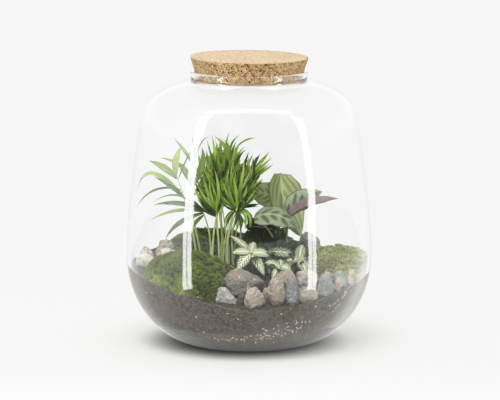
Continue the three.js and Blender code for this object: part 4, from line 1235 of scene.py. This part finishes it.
def makePalm():
    fresh = palmPaint("palm leaflet", *palm["fresh"])
    paintedHaze = palmPaint("palm leaflet in painted haze", *palm["paintedHaze"])
    stalkPaint = stemPaint("palm stem", tint(208, 220, 148), tint(146, 172, 90))
    shape = {"outline": palm["outline"], "columns": palm["columns"], "thickness": palm["thickness"],
             "foldLeft": palm["fold"], "foldRight": palm["fold"], "relief": pleats}
    for number, shoot in enumerate(palmShoots, 1):
        name = f"palm_shoot_{number}"
        form = Form()
        depth = shoot["depth"]
        route = [(x, depth, z) for x, z in shoot["stem"]]
        addTube(form, smoothCurve([*buried(route[0]), *route[1:]], 40), palm["stemRadii"], 8, 1)
        dense = number > palm["sparse"]
        if dense:  # a thinner stem beside it
            away = (-1) ** number * random.uniform(*palm["away"])
            foot = (route[0][0] + away, depth - 3 * away / abs(away))
            via = (route[1][0] + away * 0.6, depth, route[1][2])
            end = (via[0] * 0.5 + route[2][0] * 0.5, depth, route[2][2] - 4)
            addTube(form, smoothCurve([*buried(foot), via, end], 24), palm["thinRadii"], 6, 1)
        for rootX, rootZ, viaX, viaZ, tipX, tipZ, width, turn in shoot["leaflets"]:
            reach = tipDepth(name, tipX, tipZ)
            if reach is None:
                continue
            via = (viaX, (depth + reach) / 2, viaZ)
            rib = arc((rootX, depth, rootZ), via, (tipX, reach, tipZ), palm["rows"])
            middle = rib[len(rib) // 2 + 1] - rib[len(rib) // 2 - 1]
            # Leaflets whose tips stand high in the crown are painted lighter: painted light
            value = random.uniform(0.0, 0.9) + (palm["paintedTopLight"] if tipZ > palm["top"] else 0)
            inCrown = dense and width > palm["narrowest"]
            slim = palm["slim"] if inCrown else 1.0
            look = {**shape, "width": width * 1.08 * slim}
            addBlade(form, rib, facing(middle, turn), look, value)
            for _ in range(palm["beside"] if inCrown else 0):  # finer leaflets beside it
                spread = unit(np.cross(middle, [0, 1, 0])) * random.uniform(-1, 1)
                shift = spread * palm["spread"] + np.array([0, random.uniform(-3, 3), 0])
                shorter = random.uniform(*palm["shorter"])
                start = np.array([rootX, depth, rootZ]) + np.array([0, 0, random.uniform(-4, 2)])
                end = start + (rib[-1] - rib[0]) * shorter + shift
                bend = start + (np.array(via) - rib[0]) * shorter + shift * 0.6
                fine = arc(start, bend, end, 14)
                look = {**shape, "columns": 6, "width": width * random.uniform(*palm["narrower"])}
                face = facing(middle, turn + random.uniform(-palm["twist"], palm["twist"]))
                addBlade(form, fine, face, look, random.uniform(0, 1))
        leafPaint = fresh if dense else paintedHaze
        settle(form.piece(name + "_fronds", [leafPaint, stalkPaint]), "palm", name)


makePalm()
print("palm ready")


# Calathea: petiole and a broad blade marked with dark feathered ovals
calatheaLeaves = [
    {"petiole": [[33, 6, 78], [31, 16, 120], [29, 22, 155], [33, 15, 172]],
     "rib": [[33, 14, 172], [37, 8, 142], [54, 2, 107]],
     "face": [0.2, -1, 0.1], "width": 44, "foldLeft": -6, "foldRight": -62,
     "lamina": tint(222, 228, 168), "mark": tint(150, 176, 104), "rim": tint(160, 180, 116),
     "under": tint(170, 166, 116), "marks": 3.6, "sweep": 0.8, "soft": 0.85},
    {"petiole": [[30, 20, 78], [31, 24, 110], [33, 24, 144]],
     "rib": [[33, 24, 144], [17, 24, 148], [-3, 26, 151]],
     "face": [0, -1, 0.2], "width": 26, "foldLeft": -8, "foldRight": -8,
     "lamina": tint(202, 212, 152), "mark": tint(132, 148, 84), "rim": tint(140, 158, 98),
     "under": tint(130, 108, 70), "marks": 6, "sweep": 0.4, "soft": 0.6},
    {"petiole": [[36, -4, 78], [37, -6, 120], [40, -8, 137]],
     "rib": [[40, -8, 136], [57, -10, 147], [76, -8, 157]],
     "face": [0, -1, 0.35], "width": 28, "foldLeft": 4, "foldRight": -72,
     "lamina": tint(172, 184, 150), "mark": tint(80, 98, 78), "rim": tint(104, 120, 90),
     "under": tint(120, 98, 94), "marks": 5, "sweep": 0.25, "soft": 0.6},
    {"petiole": [[39, -12, 77], [39, -14, 115], [42, -17, 134]],
     "rib": [[42, -17, 133], [62, -19, 145], [92, -17, 151]],
     "face": [0, 1, 0.5], "width": 15, "foldLeft": 35, "foldRight": 35,
     "lamina": tint(150, 172, 130), "mark": tint(82, 108, 84), "rim": tint(130, 130, 96),
     "under": tint(130, 112, 110), "marks": 6.5, "sweep": 0.12, "soft": 0.2},
    {"petiole": [[27, -10, 76], [25, -13, 108], [14, -18, 125], [5, -22, 131]],
     "rib": [[5, -22, 131], [26, -26, 136], [52, -24, 122]],
     "face": [0, -0.5, 0.9], "width": 30, "foldLeft": -6, "foldRight": -10,
     "lamina": tint(138, 148, 116), "mark": tint(56, 70, 48), "rim": tint(98, 108, 74),
     "under": tint(104, 82, 66), "marks": 5, "sweep": 0.2, "soft": 0.6},
    # The sixth leaf lies low under the others and is coloured far darker on both faces: painted shade
    {"petiole": [[31, -4, 78], [31, -7, 105], [27, -8, 116]],
     "rib": [[27, -8, 116], [13, -9, 120], [-4, -10, 120]],
     "face": [0, 0.9, 0.5], "width": 35, "foldLeft": 10, "foldRight": 10,
     "lamina": tint(84, 104, 60), "mark": tint(48, 60, 34), "rim": tint(92, 110, 66),
     "under": tint(44, 36, 28), "marks": 8, "sweep": 0.12, "soft": 0.2},
]
calathea = {"outline": [0.5, 0.88, 1, 1, 0.9, 0.68, 0.38, 0], "columns": 24, "rows": 44, "thickness": 0.6,
            "petioleRadii": (1.4, 0.9)}


def calatheaPaint(name, leaf, lamina, mark, rim, strength=1.0):
    material, root, place = newPaint(name)
    across, along = bladePlace(root)
    out = abs(across)
    wobble = (cloud(root, place, 55.0, 2.0) - 0.5) * 0.05
    swept = along - out ** 1.3 * leaf["sweep"] + wobble
    count = root.math("FLOOR", swept * leaf["marks"] + 0.5)
    phase = swept * leaf["marks"] + 0.5 - count
    even = root.math("MODULO", abs(count), 2.0)
    reach = 0.55 + even * 0.32
    fullness = root.math("MAXIMUM", 1 - (out / reach) ** 2.4, 0.0) * (out / reach) ** 0.5
    spread = abs(phase - 0.5) / (fullness * 0.56 + 0.001)
    oval = 1 - ramp(spread, 0.95 - leaf["soft"], 1.05 + leaf["soft"])
    oval = oval * ramp(out, 0.03, 0.09) * strength
    fineVein = root.math("SINE", swept * 260.0) * 0.5 + 0.5
    colour = blend(lamina, mark, oval)
    colour = blend(colour, rim, ramp(out, 0.86, 0.95) * 0.9)
    colour = blend(colour, rim, fineVein * 0.16)
    ribLine = 1 - ramp(out, 0.0, 0.045)
    colour = blend(colour, tint(212, 220, 170), ribLine * 0.6)
    colour = blend(colour, darker(lamina, 0.7), cloud(root, place, 70.0) * 0.25)
    height = fineVein * 0.4 + ribLine * 0.8
    return finishPaint(material, root, colour, height, 0.0003, Roughness=0.46, Specular_IOR_Level=0.45)


def undulation(side, along, half):
    wave = 0.8 * np.sin(along * 17 + side * 0.8) + 0.35 * np.sin(along * 31 + 1)
    veins = 0.12 * np.sin((along - 0.16 * np.abs(side) ** 1.3) * 2 * math.pi * 6.5 * 2)
    waves = np.abs(side) ** 2 * wave * np.minimum(1, half / 8)
    return waves + veins * (1 - side ** 4) * np.minimum(1, half / 4)


def makeCalathea():
    stalkPaint = stemPaint("calathea petiole", tint(142, 148, 92), tint(104, 92, 58))
    for number, leaf in enumerate(calatheaLeaves, 1):
        name = f"calathea_leaf_{number}"
        top = calatheaPaint(f"{name} top", leaf, leaf["lamina"], leaf["mark"], leaf["rim"])
        shadow = darker(leaf["under"], 0.55)
        below = calatheaPaint(f"{name} underside", leaf, leaf["under"], shadow, leaf["under"], 0.4)
        form = Form()
        petiole = [*buried(leaf["petiole"][0]), *leaf["petiole"][1:]]
        addTube(form, smoothCurve(petiole, 40), calathea["petioleRadii"], 10, 2)
        root, via, tip = (list(p) for p in leaf["rib"])
        shift = (tipDepth(name, tip[0], tip[2]) or tip[1]) - tip[1]
        via[1] += shift / 2
        tip[1] += shift
        shape = {**calathea, "width": leaf["width"], "foldLeft": leaf["foldLeft"],
                 "foldRight": leaf["foldRight"], "relief": undulation}
        addBlade(form, arc(root, via, tip, calathea["rows"]), np.array(leaf["face"], float), shape,
                 0.5, 0, 1)
        settle(form.piece(name + "_blade", [top, below, stalkPaint]), "calathea", name)


makeCalathea()
print("calathea ready")


# Fittonia: sprigs of small oval leaves round a bud, netted with pale veins. Rows of leaves give x
# and z of the tip and the width, and rows of leaves behind give x, y and z of the tip and the width.
fittoniaSprigs = [
    {"bud": [2, -30, 96], "white": [0.9, 0.15, 0.8, 0.95, 0.95, 0.9],
     "leaves": [[-18, 97, 12], [-21, 114, 10], [6, 108, 12], [22, 94, 14], [-12, 81, 15], [16, 76, 13]],
     "behind": [[-6, -12, 112, 12], [12, -10, 113, 13], [-14, -14, 104, 12], [22, -14, 104, 13],
                [-2, -4, 118, 14], [8, -2, 122, 15], [-8, -2, 106, 14], [14, -6, 106, 14]]},
    {"bud": [20, -22, 96], "white": [0.05, 0.35, 0.6, 0.0, 0.4],
     "leaves": [[30, 106, 14], [48, 93, 15], [9, 101, 10], [36, 109, 12], [21, 75, 9]],
     "behind": [[26, -6, 118, 15], [38, -4, 115, 15], [12, -2, 116, 13], [47, -8, 109, 14],
                [18, 4, 124, 16], [30, 4, 124, 16], [42, 2, 120, 15], [4, 2, 112, 15], [34, -6, 106, 14]]},
    {"bud": [51, -30, 89], "white": [0.25, 0.1, 0.35, 0.3, 0.15],
     "leaves": [[55, 105, 15], [61, 90, 13], [59, 78, 16], [37, 87, 13], [41, 100, 14]],
     "behind": [[57, -10, 107, 13], [45, -6, 105, 13], [65, -14, 99, 12]]},
    {"bud": [32, -40, 83], "white": [0.5, 0.35, 0.45, 0.2],
     "leaves": [[15, 88, 11], [23, 73, 10], [42, 82, 13], [33, 91, 11]],
     "behind": []},
]
fittonia = {
    "outline": [0.3, 0.88, 1, 0.66, 0], "columns": 14, "thickness": 0.5,
    "veins": 7, "lean": 0.3, "lower": 7, "lowerLength": (13, 19), "lowerWidth": (9, 12),
    "vein": tint(234, 236, 202), "net": tint(62, 92, 26),
    "deep": tint(26, 46, 10), "shaded": tint(9, 13, 4), "stemRadii": (1.2, 0.9),
}
smallLeaf = {"columns": 10, "rows": 24, "teeth": 0.15}


def fittoniaPaint():
    material, root, place = newPaint("fittonia leaf")
    across, along = bladePlace(root)
    out = abs(across)
    white = attribute(root, "shade")
    phase = root.math("FRACT", (along - out * fittonia["lean"]) * fittonia["veins"])
    side = 1 - abs(phase - 0.5) * 2
    thin = 0.66 - white * 0.16
    lateral = ramp(side, thin, thin + 0.12)
    netLine = 1 - ramp(cells(root, place, 700.0, "DISTANCE_TO_EDGE"), 0.04, 0.16)
    rib = 1 - ramp(out, 0.06, 0.15)
    heart = 1 - ramp(out + abs(along - 0.4) * 0.9, white * 0.1, white * 0.1 + 0.2)
    heart = heart * ramp(white, 0.4, 0.8)
    pale = root.math("MAXIMUM", rib, lateral)
    pale = root.math("MAXIMUM", pale, root.math("MAXIMUM", netLine * 0.35, heart))
    pale = pale * (1 - ramp(out, 0.72, 0.86) * 0.95) * ramp(white, -0.05, 0.12)
    green = blend(fittonia["deep"], fittonia["net"], cloud(root, place, 200.0))
    colour = blend(green, fittonia["vein"], pale)
    # A white value below zero darkens the leaf towards near black: painted shade
    colour = blend(fittonia["shaded"], colour, ramp(white, -0.13, 0.0) * 0.85 + 0.15)
    return finishPaint(material, root, colour, pale * -1.0, 0.0004, Roughness=0.48,
                       Specular_IOR_Level=0.45)


def pucker(side, along, half):
    veins = np.sin((along - fittonia["lean"] * np.abs(side)) * 2 * math.pi * fittonia["veins"])
    rolled = 0.9 * side ** 2 * along + 1.6 * along ** 3
    return 0.22 * veins * (1 - side ** 2) * np.minimum(1, half / 3) - rolled


def addBud(form, bud, slot):  # four small unopened leaves
    for k in range(4):
        angle = math.pi / 2 * k + 0.4
        out = np.array([math.cos(angle), math.sin(angle) * 0.8, 0])
        root = np.array(bud) - np.array([0, 0, 1.5])
        via = root + out * 1.8 + np.array([0, -0.4, 1.6])
        rib = arc(root, via, root + out * 3.2 + np.array([0, -0.6, 4.2]), 8)
        shape = {"outline": [0.3, 0.9, 1, 0.7, 0], "columns": 6, "thickness": 0.6, "width": 3.0,
                 "foldLeft": 25, "foldRight": 25, "relief": lambda side, along, half: 0 * side * along}
        face = np.cross(unit(rib[-1] - rib[0]), np.cross(out, [0, 0, 1.0])) * -1
        addBlade(form, rib, face, shape, 0.8, slot)


def addFittoniaLeaf(form, root, tip, lift, face, value, **look):  # lift is how far the rib bows up
    shape = {**fittonia, "foldLeft": look["fold"], "foldRight": look["fold"], "relief": pucker, **look}
    rib = arc(root, (root + tip) / 2 + np.array([0, 0, lift]), tip, look["rows"])
    addBlade(form, rib, np.array(face), shape, value, 0, 1)


def makeFittonia():
    paints = [fittoniaPaint(),
              mottledPaint("fittonia underside", tint(112, 138, 66), tint(160, 176, 112), 300.0, 0.55, 900.0),
              stemPaint("fittonia stem", tint(150, 168, 96), tint(108, 118, 60)),
              mottledPaint("fittonia bud", tint(176, 196, 86), tint(206, 216, 122), 500.0, 0.5)]
    for number, sprig in enumerate(fittoniaSprigs, 1):
        name = f"fittonia_sprig_{number}"
        form = Form()
        x, y, z = sprig["bud"]
        bud = np.array(sprig["bud"], float)
        addTube(form, smoothCurve([*buried((x + 2, y + 3)), (x, y, z)], 24), fittonia["stemRadii"], 8, 2)
        addBud(form, sprig["bud"], 3)
        for (tipX, tipZ, width), white in zip(sprig["leaves"], sprig["white"]):
            reach = tipDepth(name, tipX, tipZ)
            if reach is None:
                continue
            addFittoniaLeaf(form, bud, np.array([tipX, reach, tipZ], float), 2.5, (0, -0.75, 0.65), white,
                            width=width, fold=8, teeth=0.3, rows=44)
        for *tip, width in sprig["behind"]:  # green leaves that show between the pale ones, darkened in painted shade
            addFittoniaLeaf(form, bud, np.array(tip, float), 3.0, (0, -0.85, 0.5),
                            random.uniform(-0.15, -0.06), width=width, fold=12, **smallLeaf)
        for k in range(fittonia["lower"]):  # smaller green leaves lower on the stem, most of them partly darkened in painted shade
            angle = 2 * math.pi * (k + random.uniform(0.2, 0.8)) / fittonia["lower"]
            start = np.array([x + 1.2, y + 2, z - random.uniform(3, 12)])
            out = np.array([math.sin(angle), math.cos(angle) * 0.8 + 0.25, random.uniform(0.1, 0.9)])
            end = start + unit(out) * random.uniform(*fittonia["lowerLength"])
            end[2] = max(end[2], float(soilHeight(end[0], end[1])) + 4)
            width = random.uniform(*fittonia["lowerWidth"])
            addFittoniaLeaf(form, start, end, 2.0, (0, -0.6, 0.8), random.uniform(-0.12, 0.02),
                            width=width, fold=8, **smallLeaf)
        settle(form.piece(name + "_leaves", paints), "fittonia", name)


makeFittonia()
print("fittonia ready")
